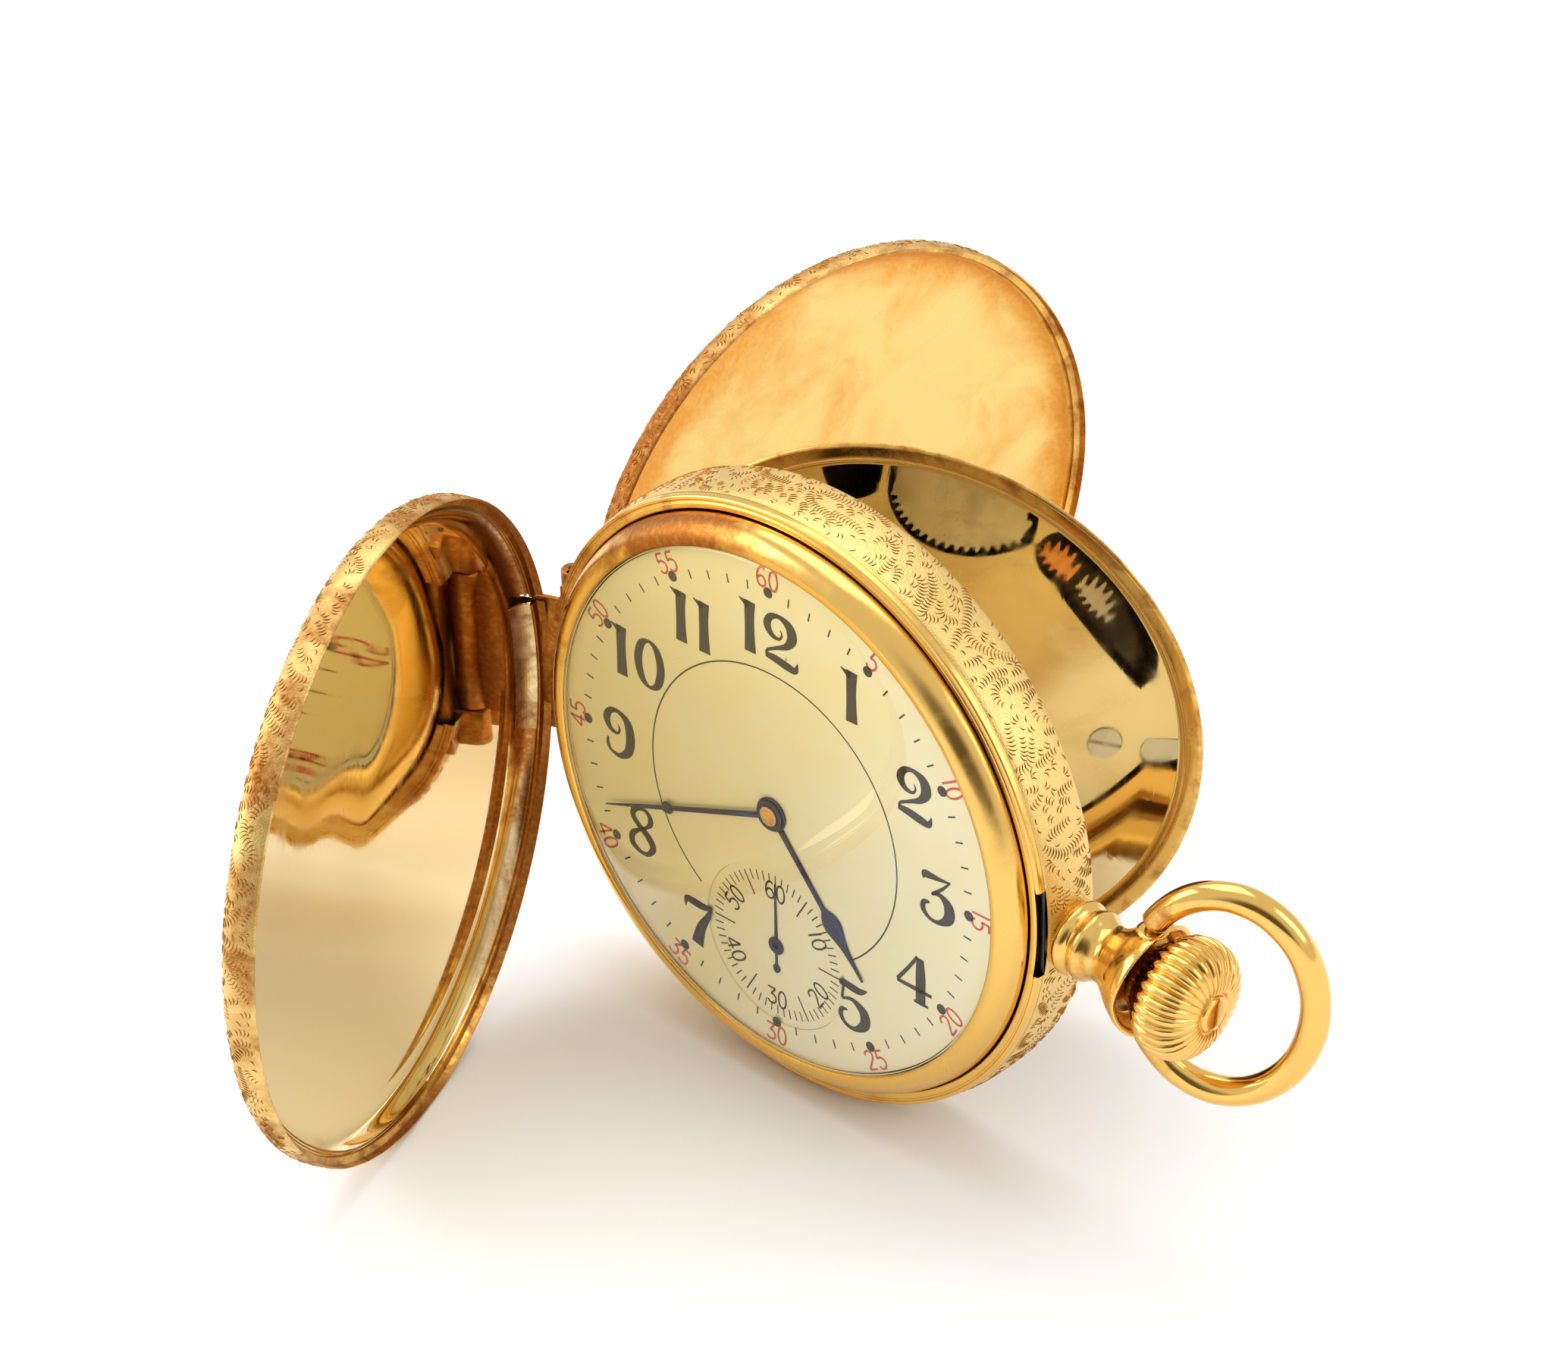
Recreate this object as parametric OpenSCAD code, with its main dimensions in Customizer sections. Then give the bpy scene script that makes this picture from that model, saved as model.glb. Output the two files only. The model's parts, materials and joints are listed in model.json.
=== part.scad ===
// Hunter pocket watch, sixteen size, standing open on the six o'clock edge of its case.
// +X runs out along the pendant (three o'clock), +Z is twelve o'clock, the dial faces -Y.
// The origin is where the hands' axis meets the face of the dial. Millimetres.

/* [Case] */
// Outer radius of the case band and of both covers
case_r = 24.85; // [24.6:0.05:25.2]
// Depth from the dial's face to the front edge of the band
band_front = 1.9; // [1.8:0.05:2.1]
// Depth from the dial's face to the back edge of the band
band_back = 7.0; // [6.9:0.05:7.1]
// Radius of the movement's seat inside the band
seat_r = 21.45; // [21.4:0.05:21.6]
// Wall of the covers
cover_wall = 0.4; // [0.3:0.05:0.45]

/* [Covers] */
// Angle that the front cover stands open
front_open = 68.6; // [40:0.1:90]
// Angle that the back cover stands open
back_open = 81.5; // [60:0.1:95]
// Angle that the inner dust cover stands open
cuvette_open = 24.6; // [18:0.1:30]
// Height of the front cover's dome over its rim
front_rise = 4.15; // [4.1:0.05:4.4]
// Height of the back cover's dome over its rim
back_rise = 3.75; // [3.7:0.05:4]
// Outer radius of the inner dust cover
cuvette_r = 22.8; // [22.6:0.05:22.85]

/* [Hinges] */
// Radius of the hinge knuckles
knuckle_r = 0.95; // [0.85:0.05:1]
// Radius of the hinge pins
hinge_pin_r = 0.4; // [0.3:0.05:0.5]
// Half length of both hinges
hinge_half = 9.0; // [8:0.1:9.5]

/* [Pendant] */
// Depth of the pendant's axis behind the dial's face
pendant_y = 4.45; // [4.4:0.05:4.5]
// Angle of the pendant below the dial's three o'clock line
pendant_turn = 2.8; // [0:0.1:3]
// Distance from the centre to the bow's pivot
bow_pivot_x = 31.77; // [31.7:0.01:31.9]
// Radius of the bow's wire
bow_wire_r = 1.1; // [0.95:0.05:1.15]
// Angle that the bow hangs back from the pendant's axis
bow_turn = 23.2; // [0:0.1:50]
// Greatest radius of the crown
crown_r = 4.6; // [4.5:0.05:4.65]
// Number of flutes round the crown
crown_flutes = 30; // [24:1:36]

/* [Dial and hands] */
// Radius of the dial
dial_r = 21.3; // [21.2:0.05:21.4]
// Distance from the dial's centre down to the seconds dial's centre
seconds_z = 11.97; // [11.9:0.01:12.05]
// Time shown, whole hours
show_hour = 4; // [0:1:11]
// Time shown, minutes
show_minute = 41.4; // [0:0.1:60]

/* [Train] */
// Teeth of the barrel
barrel_teeth = 62; // [62:1:62]
// Leaves of the centre pinion
centre_leaves = 16; // [16:1:16]
// Teeth of the centre wheel
centre_teeth = 80; // [80:1:80]
// Teeth of the third wheel
third_teeth = 75; // [75:1:75]
// Teeth of the fourth wheel
fourth_teeth = 80; // [80:1:80]
// Leaves of the third and fourth pinions
train_leaves = 10; // [10:1:10]
// Leaves of the escape pinion
escape_leaves = 8; // [8:1:8]
// Teeth of the ratchet wheel
ratchet_teeth = 56; // [56:1:56]

/* [Hidden] */

$fn = 96;
gap = 0.05;          // running clearance of pins, pivots and stems
eps = 0.01;

// hinge lines, both parallel to Z, as [x, y]
front_hinge = [-24.47, 4.18];
back_hinge = [-25.2, 7.1];

// lengths of the hinge knuckles, as half heights
front_knuckle = 6.0;
back_knuckle_in = 2.6;
back_knuckle_out = 5.7;

// depths of the movement's layers behind the dial's face, [from, to]
dial_y = [0, 0.8];
pillar_y = [0.85, 3.1];
motion_floor = 2.0;       // floor of the motion work's cavity in the pillar plate
barrel_floor = 2.15;      // floor of the barrel's seat in the pillar plate
top_y = [4.65, 6.0];
recess_floor = 5.05;      // floor of the winding work's recess in the top plate

// plan places on the movement, as [x, z] seen from the dial side
barrel_at = [4.45, 10.69];
third_at = [5.6, -6.46];
fourth_at = [0, -seconds_z];
escape_at = [-6.2, -14.24];
balance_at = [-11.3, -5.2];
fork_at = [-8.6, -10.55];
winding_at = [11.4, 3.75];
minute_at = [3.2, -2.4];
click_at = [-4.6, 12.6];

// pivots of the train, all one size
pivot_r = 0.3;

function dist(a, b) = norm(b - a);
function dir(a, b) = atan2(b[1] - a[1], b[0] - a[0]);
function pitch_r(n, m) = n * m / 2;

// modules worked out from the centre distances
barrel_m = 2 * norm(barrel_at) / (barrel_teeth + centre_leaves);
centre_m = 2 * norm(third_at) / (centre_teeth + train_leaves);
third_m = 2 * dist(third_at, fourth_at) / (third_teeth + train_leaves);
fourth_m = 2 * dist(fourth_at, escape_at) / (fourth_teeth + escape_leaves);
winding_teeth = 28;
winding_leaves = 9;
crown_wheel_teeth = 36;
winding_m = 2 * dist(barrel_at, winding_at) / (ratchet_teeth + winding_teeth);
crown_wheel_at = winding_at + pitch_r(winding_teeth + winding_leaves, winding_m) * [0.8, -0.6];
cannon_leaves = 12;
minute_teeth = 36;
minute_leaves = 10;
hour_teeth = 40;
cannon_m = 2 * norm(minute_at) / (cannon_leaves + minute_teeth);
hour_m = 2 * norm(minute_at) / (minute_leaves + hour_teeth);

// where the first tooth of b stands, so that it meshes with a (first tooth at a0)
function meshed(a0, na, phi, nb) = phi + 180 - 360 / nb * (0.5 - (phi - a0) * na / 360);

minute_turn = show_minute * 6;
hour_turn = (show_hour + show_minute / 60) * 30;

// ---------- shared shapes ----------

// solid of revolution about the hands' axis; profile points are [radius, depth]
module rev(pts) rotate([-90, 0, 0]) rotate_extrude($fn = 180) polygon(pts);

// flat piece in plan, from depth y0, h thick
module flat(y0, h) translate([0, y0 + h, 0]) rotate([90, 0, 0]) linear_extrude(h) children();

// disc or post about an axis parallel to the hands', from depth y0 to y1
module post(at, r, y0, y1) translate([at[0], y0, at[1]]) rotate([-90, 0, 0]) cylinder(r = r, h = y1 - y0);

// anything laid out along the pendant's axis, which leaves the centre a little below three o'clock
module on_pendant() rotate([0, pendant_turn, 0]) translate([0, pendant_y, 0]) children();

// rod on the pendant's axis
module rod_x(r, x0, x1) on_pendant() translate([x0, 0, 0]) rotate([0, 90, 0]) cylinder(r = r, h = x1 - x0);

// solid of revolution about the pendant's axis; profile points are [radius, x]
module rev_x(pts) on_pendant() rotate([0, 90, 0]) rotate_extrude() polygon(pts);

// upright rod on a hinge line
module rod_z(at, r, z0, z1) translate([at[0], at[1], z0]) cylinder(r = r, h = z1 - z0);

// turns a piece about a hinge line
module about(at, a) translate([at[0], at[1], 0]) rotate([0, 0, a]) translate([-at[0], -at[1], 0]) children();

// outline of a spur gear with straight-sided teeth
function tooth(n, m, i, first, add, ded) =
  let (r = pitch_r(n, m), p = 360 / n, a = first + i * p)
  [for (q = [[r - ded * m, -0.30], [r, -0.20], [r + add * m, -0.09],
             [r + add * m, 0.09], [r, 0.20], [r - ded * m, 0.30]])
    [q[0] * cos(a + q[1] * p), q[0] * sin(a + q[1] * p)]];

module gear(at, n, m, first = 0, add = 0.75, ded = 1.0)
  translate(at) polygon([for (i = [0 : n - 1]) each tooth(n, m, i, first, add, ded)]);

// rim with spokes, in plan
module spoked(at, n, rim_r, hub_r, w, first = 0)
  translate(at) {
    circle(r = hub_r);
    for (i = [0 : n - 1]) rotate(first + i * 360 / n) translate([0, -w / 2]) square([rim_r + 0.15, w]);
  }

module spoked_gear(at, n, m, rim_r, first, spokes, w) {
  difference() {
    gear(at, n, m, first);
    translate(at) circle(r = rim_r);
  }
  spoked(at, spokes, rim_r, 0.9, w, first);
}

// flat ribbon spiral from r0 to r1
function spiral(r0, r1, turns, t, side) =
  [for (i = [0 : turns * 20]) let (k = i / (turns * 20), a = i * 18, r = r0 + (r1 - r0) * k + side * t / 2)
    [r * cos(a), r * sin(a)]];
function reversed(p) = [for (i = [len(p) - 1 : -1 : 0]) p[i]];
module spiral_strip(at, r0, r1, turns, t)
  translate(at) polygon(concat(spiral(r0, r1, turns, t, 1), reversed(spiral(r0, r1, turns, t, -1))));

// slotted screw, head sunk to depth y0, head top at y1
module screw(at, head_r, y0, y1, thread_r, y_end, turn = 0) {
  difference() {
    post(at, head_r, y0, y1);
    translate([at[0], y1 - 0.22, at[1]]) rotate([0, turn, 0])
      translate([-head_r - 1, 0, -0.16]) cube([2 * head_r + 2, 1, 0.32]);
  }
  post(at, thread_r, y_end, y0 + eps);
}

// points of an arc round a centre
function arc(c, r, a0, a1, n = 12) =
  [for (i = [0 : n]) let (a = a0 + (a1 - a0) * i / n) c + r * [cos(a), sin(a)]];

// ---------- case ----------

lip_r = 24.62;       // outer edge of the polished lip that the front cover closes on
groove_r = 23.5;     // groove between lip and bezel
seat_y = 5.8;        // depth of the dust cover's seat
back_mouth = 22.98;  // radius of the opening that the dust cover closes

module band_ring() rev([
  [groove_r, 1.3], [lip_r, band_front], [24.7, 2.2], [24.8, 3.2], [case_r, 4.6], [24.8, 5.4],
  [24.85, 6.0], [24.6, band_back], [back_mouth, band_back], [back_mouth, seat_y], [seat_r, seat_y],
  [seat_r, 0.9], [22.6, 0.9], [22.6, 1.6], [groove_r, 1.6]
]);

// block that carries the case's knuckles of one hinge, and the knuckles
module hinge_block(at, inner) for (s = [0, 1]) mirror([0, 0, s]) {
  rod_z(at, knuckle_r, inner, hinge_half);
  translate([at[0] - 0.2, at[1] - knuckle_r, inner])
    cube([2.6, 2 * knuckle_r, hinge_half - inner]);
}

module case_center() color("goldenrod") difference() {
  union() {
    band_ring();
    intersection() {
      hinge_block(front_hinge, front_knuckle + 0.1);
      translate([-40, -20, -20]) cube([40 - seat_r / 1.02, 40, 40]);
    }
    hinge_block(back_hinge, back_knuckle_out + 0.1);
  }
  // room for the covers' knuckles and tabs
  translate([-30, -1, -front_knuckle - 0.1])
    cube([
      30 + front_hinge[0] + knuckle_r + 0.25,
      1 + front_hinge[1] + knuckle_r + 0.12,
      2 * front_knuckle + 0.2
    ]);
  translate([-30, back_hinge[1] - knuckle_r - 0.15, -back_knuckle_out - 0.1])
    cube([30 + back_hinge[0] + knuckle_r + 0.3, 5, 2 * back_knuckle_out + 0.2]);
  translate([-30, seat_y, -back_knuckle_in - 0.15]) cube([8.6, 5, 2 * back_knuckle_in + 0.3]);
  // hinge pins
  rod_z(front_hinge, hinge_pin_r, -20, 20);
  rod_z(back_hinge, hinge_pin_r, -20, 20);
  // pendant's seat, and the catch's slot in the lip
  rod_x(root_r + eps, 20, 24.0);
  rod_x(neck_r + eps, 23.95, 27);
  translate([22.35, 1.0, -3.8]) cube([1.95, 1.65, 7.6]);
  translate([24.2, 1.35, -3.8]) cube([0.75, 0.85, 7.6]);
  // room for the lift spring inside the band
  translate([-23.3, 2.4, -8.2]) cube([1.9, 1.6, 16.4]);
  // case screws
  for (p = case_screw_at) post(p, 1.2, 5.25, 8);
}

module bezel() color("gold") rev([
  [21.36, -0.5], [21.5, -0.62], [21.9, -0.64], [22.5, -0.38], [23.0, 0.08], [23.3, 0.62], [23.42, 1.22],
  [22.7, 1.25], [22.62, 0.88], [21.5, 0.88], [21.5, -0.03], [21.36, -0.03]
]);

// flattened dome: steep at the edge, nearly flat over the hands
function glass(edge_r, base, rise, n = 18) =
  [for (i = [0 : n]) let (a = 90 * i / n) [edge_r * sqrt(sin(a)), base - rise * cos(a)]];

module crystal() color("aliceblue", 0.3) rev(concat(
  glass(21.3, -0.33, 0.97), reversed(glass(21.1, -0.05, 0.95))
));

// ---------- covers ----------

// side of a cover, [radius, height over the rim]: an upright wall, a round shoulder, then a low dome
function cover_side(r0, rise) =
  let (sh = rise - 1.15, wall = sh - 1.45)
  concat(
    [for (i = [0 : 10]) let (a = i * 8.4) [r0 - 1.45 + 1.45 * cos(a), wall + 1.45 * sin(a)]],
    [for (i = [1 : 10]) let (r = (r0 - 1.45) * (1 - i / 10)) [r, rise - 1.15 * pow(r / (r0 - 1.45), 2)]]
  );

// shell of a cover; s is -1 when it bulges forwards and 1 when it bulges back
module cover_shell(y0, s, rise) {
  out = concat([[case_r - 0.1, 0], [case_r, 0.35]], cover_side(case_r, rise));
  in = concat([[case_r - 0.9, 0.45], [case_r - 0.9, 0.75], [case_r - 0.5, 0.95]],
    cover_side(case_r - 0.5, rise - cover_wall));
  rev([for (q = concat(out, reversed(in))) [q[0], y0 + s * q[1]]]);
}

front_rim_y = 1.85;
back_rim_y = 7.15;

module front_cover() color("gold") about(front_hinge, -front_open) difference() {
  union() {
    cover_shell(front_rim_y, -1, front_rise);
    rod_z(front_hinge, knuckle_r, -front_knuckle, front_knuckle);
    translate([front_hinge[0] - 0.35, 0.9, -front_knuckle])
      cube([0.75, front_hinge[1] - 0.9, 2 * front_knuckle]);
  }
  rod_z(front_hinge, hinge_pin_r + gap, -20, 20);
}

// the rim stops either side of the hinge; the dome above it is whole
back_notch = 22;     // half angle of the rim left open for the hinge
back_wall = 1.1;     // height of the rim below the dome

module back_cover() color("gold") about(back_hinge, back_open) {
  rev([for (q = concat([[case_r, back_wall]], cover_side(case_r, back_rise),
      reversed(concat(
        [[case_r - cover_wall, back_wall]],
        cover_side(case_r - cover_wall, back_rise - cover_wall)
      ))))
    [q[0], back_rim_y + q[1]]]);
  rotate([-90, 0, 0]) rotate([0, 0, 180 + back_notch]) rotate_extrude(angle = 360 - 2 * back_notch, $fn = 180)
    polygon([for (q = [
        [0.5, 0.25], [0.12, 0], [0.07, 0.3],
        [0.07, back_wall + 0.2], [0.33, back_wall + 0.2], [0.45, 0.5]
      ])
      [case_r - q[0], back_rim_y + q[1]]]);
  for (s = [0, 1]) mirror([0, 0, s]) difference() {
    union() {
      rod_z(back_hinge, knuckle_r, back_knuckle_in + 0.1, back_knuckle_out);
      translate([back_hinge[0] + 0.5, back_hinge[1] + 0.1, back_knuckle_in + 0.15])
        cube([0.8, 1.9, back_knuckle_out - back_knuckle_in - 0.2]);
    }
    rod_z(back_hinge, hinge_pin_r + gap, -20, 20);
  }
}

module cuvette() color("khaki") about(back_hinge, cuvette_open) difference() {
  union() {
    rev([
      [0, 7.25], [8, 7.13], [14, 6.92], [19, 6.62], [21.3, 6.4], [21.75, 5.95], [22.6, 5.95],
      [cuvette_r, 6.15], [22.7, 6.45], [22.0, 6.75], [19.5, 7.0], [14, 7.32], [8, 7.53], [0, 7.65]
    ]);
    rod_z(back_hinge, knuckle_r, -back_knuckle_in, back_knuckle_in);
    translate([back_hinge[0], 6.2, -back_knuckle_in]) cube([3.1, 0.5, 2 * back_knuckle_in]);
  }
  rod_z(back_hinge, hinge_pin_r + gap, -20, 20);
}

module front_hinge_pin() color("peru") rod_z(front_hinge, hinge_pin_r, -hinge_half, hinge_half);
module back_hinge_pin() color("peru") rod_z(back_hinge, hinge_pin_r, -hinge_half, hinge_half);

// steel catch of the lock spring; its nose stands in the lip at three o'clock
module lock_catch() color("dimgray") {
  translate([23.0, 1.4, -3.6]) cube([0.75, 1.1, 7.2]);
  translate([23.6, 1.85, -3.6]) cube([0.7, 0.28, 7.2]);
}

// flat spring beside the front hinge that lifts the cover
module lift_spring() color("slategray") translate([-22.9, 2.55, -8]) cube([0.6, 1.3, 16]);

// ---------- pendant, bow, crown ----------

root_r = 1.75;       // pendant's tail inside the band
neck_r = 2.3;        // pendant where it leaves the band

module pendant() color("gold") difference() {
  rev_x([
    [root_r, 22.9], [root_r, 23.95], [neck_r, 24.0], [neck_r, 24.75], [2.6, 25.0], [2.82, 25.3], [2.85, 25.5],
    [2.78, 25.75], [2.6, 26.0], [2.56, 26.15], [2.62, 26.45], [2.72, 26.75], [2.72, 27.0], [2.6, 27.3],
    [2.3, 27.65], [2.15, 28.1], [2.2, 28.6], [2.5, 29.2], [3.05, 29.95], [3.6, 30.7], [4.0, 31.45],
    [4.22, 32.05], [4.33, 32.6], [3.95, 32.6], [3.75, 32.0], [3.3, 31.4], [3.2, 30.9],
    [1.3, 30.7], [1.3, 22.9]
  ]);
  // sockets for the ends of the bow
  on_pendant() translate([bow_pivot_x, 0, 0]) for (s = [0, 1]) mirror([0, 0, s]) {
    translate([0, 0, 3.3]) cylinder(r = 1.3, h = 3);
    cylinder(r = 0.5, h = 5);
  }
}

bow_a = 6.52;        // half width of the bow's loop, away from the pendant
bow_b = 8.5;         // half height of the bow's loop
bow_reach = 5.45;    // from the pivot to the loop's centre
bow_rings = 44;
bow_sides = 12;
bow_end = acos(-bow_reach / bow_a);

// centre line of the loop in the bow's own plane, [out, up]
function bow_point(k) = let (a = -bow_end + 2 * bow_end * k) [bow_reach + bow_a * cos(a), bow_b * sin(a)];
function bow_thick(k) = bow_wire_r * (1 - 0.14 * pow(abs(2 * k - 1), 4));

module bow_wire() {
  ring = [for (i = [0 : bow_rings])
    let (k = i / bow_rings, p = bow_point(k), q = bow_point(k + 0.001) - bow_point(k - 0.001),
         n = [q[1], -q[0]] / norm(q), r = bow_thick(k))
    for (j = [0 : bow_sides - 1]) let (a = j * 360 / bow_sides)
      [p[0] + n[0] * r * cos(a), r * sin(a), p[1] + n[1] * r * cos(a)]];
  sides = [for (i = [0 : bow_rings - 1]) for (j = [0 : bow_sides - 1])
    let (a = i * bow_sides + j, b = i * bow_sides + (j + 1) % bow_sides)
      [a, a + bow_sides, b + bow_sides, b]];
  last = bow_rings * bow_sides;
  polyhedron(ring, concat(sides, [[for (j = [0 : bow_sides - 1]) j]],
    [[for (j = [bow_sides - 1 : -1 : 0]) last + j]]));
}

module bow() color("gold") on_pendant() translate([bow_pivot_x, 0, 0]) rotate([0, 0, bow_turn]) {
  bow_wire();
  for (s = [0, 1]) mirror([0, 0, s]) translate([0, 0, 3.35]) cylinder(r = 0.45, h = 1.3);
}

module crown() color("gold") difference() {
  rev_x([
    [0, 31.5], [2.4, 31.5], [2.7, 32.0], [3.1, 32.55], [3.55, 33.0], [3.95, 33.4],
    [4.35, 33.95], [4.55, 34.55],
    [crown_r, 35.15], [4.52, 35.85], [4.3, 36.4], [3.85, 36.95], [3.2, 37.35], [2.3, 37.6], [1.45, 37.65],
    [1.3, 37.8], [0, 37.85]
  ]);
  for (i = [0 : crown_flutes - 1])
    on_pendant() rotate([i * 360 / crown_flutes, 0, 0]) translate([32, 0, crown_r + 0.12])
      rotate([0, 90, 0]) cylinder(r = 0.36, h = 6, $fn = 24);
  rod_x(stem_r, 30, 36);
}

stem_r = 0.6;
winding_pinion_x = [19.6, 20.9];

module winding_stem() color("silver") {
  rod_x(stem_r, 17.4, 36);
  rod_x(1.1, winding_pinion_x[0], winding_pinion_x[1]);
}

// steel collar that carries the crown's push to the lock catch
module stem_collar() color("gray") difference() {
  rod_x(1.2, 23.9, 25.5);
  rod_x(stem_r + gap, 20, 30);
}

// room for the stem and its pinion between the plates
module stem_channel() {
  rod_x(stem_r + 0.25, 16.5, 24);
  rod_x(1.25, winding_pinion_x[0] - 0.7, 24);
}

// ---------- dial and hands ----------

seconds_dial_r = 7.0;

module dial() color("ivory") difference() {
  flat(dial_y[0], dial_y[1]) difference() {
    circle(r = dial_r);
    circle(r = 1.35);
  }
  post(fourth_at, seconds_dial_r, -1, 3);
}

module seconds_dial() color("ivory") difference() {
  post(fourth_at, seconds_dial_r - 0.02, 0.14, dial_y[1]);
  post(fourth_at, 0.55, -1, 3);
}

hour_hand_y = [-0.22, -0.08];
minute_hand_y = [-0.42, -0.30];
seconds_hand_y = [0.02, 0.10];

module turned(a) rotate([0, a, 0]) children();

module hour_hand() color("midnightblue") turned(hour_turn) difference() {
  flat(hour_hand_y[0], hour_hand_y[1] - hour_hand_y[0]) {
    circle(r = 1.4);
    polygon([[-0.3, 1], [0.3, 1], [0.22, 8.6], [-0.22, 8.6]]);
    translate([0, 9.2]) circle(r = 1.0);
    polygon([[-0.98, 9.4], [0.98, 9.4], [0.24, 11.4], [0.1, 14], [-0.1, 14], [-0.24, 11.4]]);
  }
  post([0, 0], 1.06, -2, 2);
}

module minute_hand() color("midnightblue") turned(minute_turn) difference() {
  flat(minute_hand_y[0], minute_hand_y[1] - minute_hand_y[0]) {
    circle(r = 1.25);
    polygon([[-0.26, 1], [0.26, 1], [0.2, 11.3], [-0.2, 11.3]]);
    translate([0, 11.4]) circle(r = 0.55);
    polygon([[-0.2, 11.6], [0.2, 11.6], [0.1, 18.4], [-0.1, 18.4]]);
  }
  post([0, 0], 0.8, -2, 2);
}

module seconds_hand() color("midnightblue") difference() {
  flat(seconds_hand_y[0], seconds_hand_y[1] - seconds_hand_y[0]) translate(fourth_at) {
    circle(r = 0.75);
    polygon([[-0.16, 0.5], [0.16, 0.5], [0.07, 5.6], [-0.07, 5.6]]);
    translate([-0.12, -1.9]) square([0.24, 1.4]);
    translate([0, -2.1]) circle(r = 0.38);
  }
  post(fourth_at, pivot_r, -2, 2);
}

// ---------- motion work ----------

module cannon_pinion() color("silver") difference() {
  union() {
    post([0, 0], 0.8, -0.5, 1.9);
    flat(1.35, 0.5) gear([0, 0], cannon_leaves, cannon_m, 0);
  }
  post([0, 0], 0.45, -2, 3);
}

minute_first = meshed(0, cannon_leaves, dir([0, 0], minute_at), minute_teeth);
hour_first = meshed(minute_first, minute_leaves, dir(minute_at, [0, 0]), hour_teeth);

module minute_wheel() color("darkgoldenrod") difference() {
  union() {
    flat(1.5, 0.2) gear(minute_at, minute_teeth, cannon_m, minute_first);
    flat(1.0, 0.52) gear(minute_at, minute_leaves, hour_m, minute_first);
  }
  post(minute_at, 0.35, -2, 4);
}

module hour_wheel() color("darkgoldenrod") difference() {
  union() {
    flat(1.05, 0.2) gear([0, 0], hour_teeth, hour_m, hour_first);
    post([0, 0], 1.06, hour_hand_y[0], 1.2);
  }
  post([0, 0], 0.8 + gap, -2, 3);
}

// ---------- plates ----------

plate_r = 21.2;
plate_screw_at = [[12.9, -12.3], [-8.9, 15.9], [-17.2, 5.6], [7.6, -16.7]];
case_screw_at = [[16.6, -13.1], [-21.0, 2.2]];
cock_foot = [-15.2, -12.6];

// train pivots held in the two plates
train_pivots = [[0, 0], third_at, fourth_at, escape_at];

module pillar_plate() color("darkkhaki") difference() {
  union() {
    flat(pillar_y[0], pillar_y[1] - pillar_y[0]) difference() {
      circle(r = plate_r - 0.1);
      for (p = concat(train_pivots, [balance_at, fork_at])) translate(p) circle(r = pivot_r + gap);
    }
    // pillars up to the top plate, under the plate screws
    for (p = plate_screw_at) post(p, 1.3, pillar_y[1] - eps, top_y[0]);
    post(cock_foot, 1.2, pillar_y[1] - eps, top_y[0]);
    post(minute_at, 0.3, 0.95, pillar_y[0] + 1.5);
  }
  // room for the motion work, for the barrel and for the winding stem
  difference() {
    union() {
      post([0, 0], 3.7, 0, motion_floor);
      post(minute_at, 3.3, 0, motion_floor);
    }
    post(minute_at, 0.3, 0, motion_floor + 1);
  }
  post([0, 0], 0.5, 0, 4);
  post(barrel_at, 9.6, barrel_floor, 4);
  post([0, 0], 2.85, barrel_floor, 4);
  stem_channel();
  for (p = plate_screw_at) post(p, 0.5, 2.4, 6);
  post(cock_foot, 0.5, 2.4, 6);
  post(barrel_at, 0.6 + gap, 0, 4);
}

// recess for the winding work, a crescent round the three wheels
module recess() {
  translate(barrel_at) circle(r = 6.95);
  translate(winding_at) circle(r = 3.7);
  translate(crown_wheel_at) circle(r = 4.65);
  translate(click_at) circle(r = 2.5);
  polygon(concat(arc([0, 0], 19.4, 112, -24, 24), [
    [17.2, -9.6], [14.8, -7.8], [12.4, -4.6], [9.6, -0.4], [8.4, 2.4], [7.4, 5],
    [4, 8], [-2, 11.2], [-7.2, 14.4]
  ]));
}

// opening in the top plate over the balance and round the cock's foot
module balance_opening() {
  translate(balance_at) circle(r = 7.3);
  polygon([balance_at, [-13.4, -22], [-30, -20], [-30, 1.5]]);
}

module top_plate() color("darkkhaki") difference() {
  flat(top_y[0], top_y[1] - top_y[0]) difference() {
    circle(r = 20.9);
    balance_opening();
    for (p = train_pivots) translate(p) circle(r = 0.75);
    for (p = plate_screw_at) translate(p) circle(r = 0.6);
    translate(barrel_at) circle(r = 1.5 + gap);
    for (p = [winding_at, crown_wheel_at]) translate(p) circle(r = 0.6 + gap);
  }
  flat(recess_floor, 2) recess();
  for (p = plate_screw_at) post(p, 1.25, 5.5, 7);
  for (p = case_screw_at) post(p, 1.2, 5.25, 8);
  for (p = train_pivots) post(p, 1.15, 5.75, 7);
  post(click_at, 0.4 + gap, 4.9, 7);
  stem_channel();
}

cock_floor = 5.15;
module balance_cock() color("darkkhaki") difference() {
  union() {
    // foot
    flat(top_y[0], top_y[1] - top_y[0]) intersection() {
      circle(r = 20.7);
      difference() {
        polygon([[-13.6, -22], [-30, -19.8], [-17.6, -9.4], [-13.0, -12.4]]);
        translate(balance_at) circle(r = 7.2);
      }
    }
    // arm over the balance
    flat(cock_floor, top_y[1] - cock_floor) {
      translate(balance_at) circle(r = 2.6);
      polygon([[-17.6, -9.6], [-12.9, -12.6], balance_at + [2.1, -1.5], balance_at + [-2.3, 1.2]]);
    }
  }
  post(balance_at, 0.75, 4, 8);
  post(cock_foot, 0.6, 4, 8);
  post(cock_foot, 1.3, 5.5, 8);
}

// ---------- barrel and winding work ----------

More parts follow.
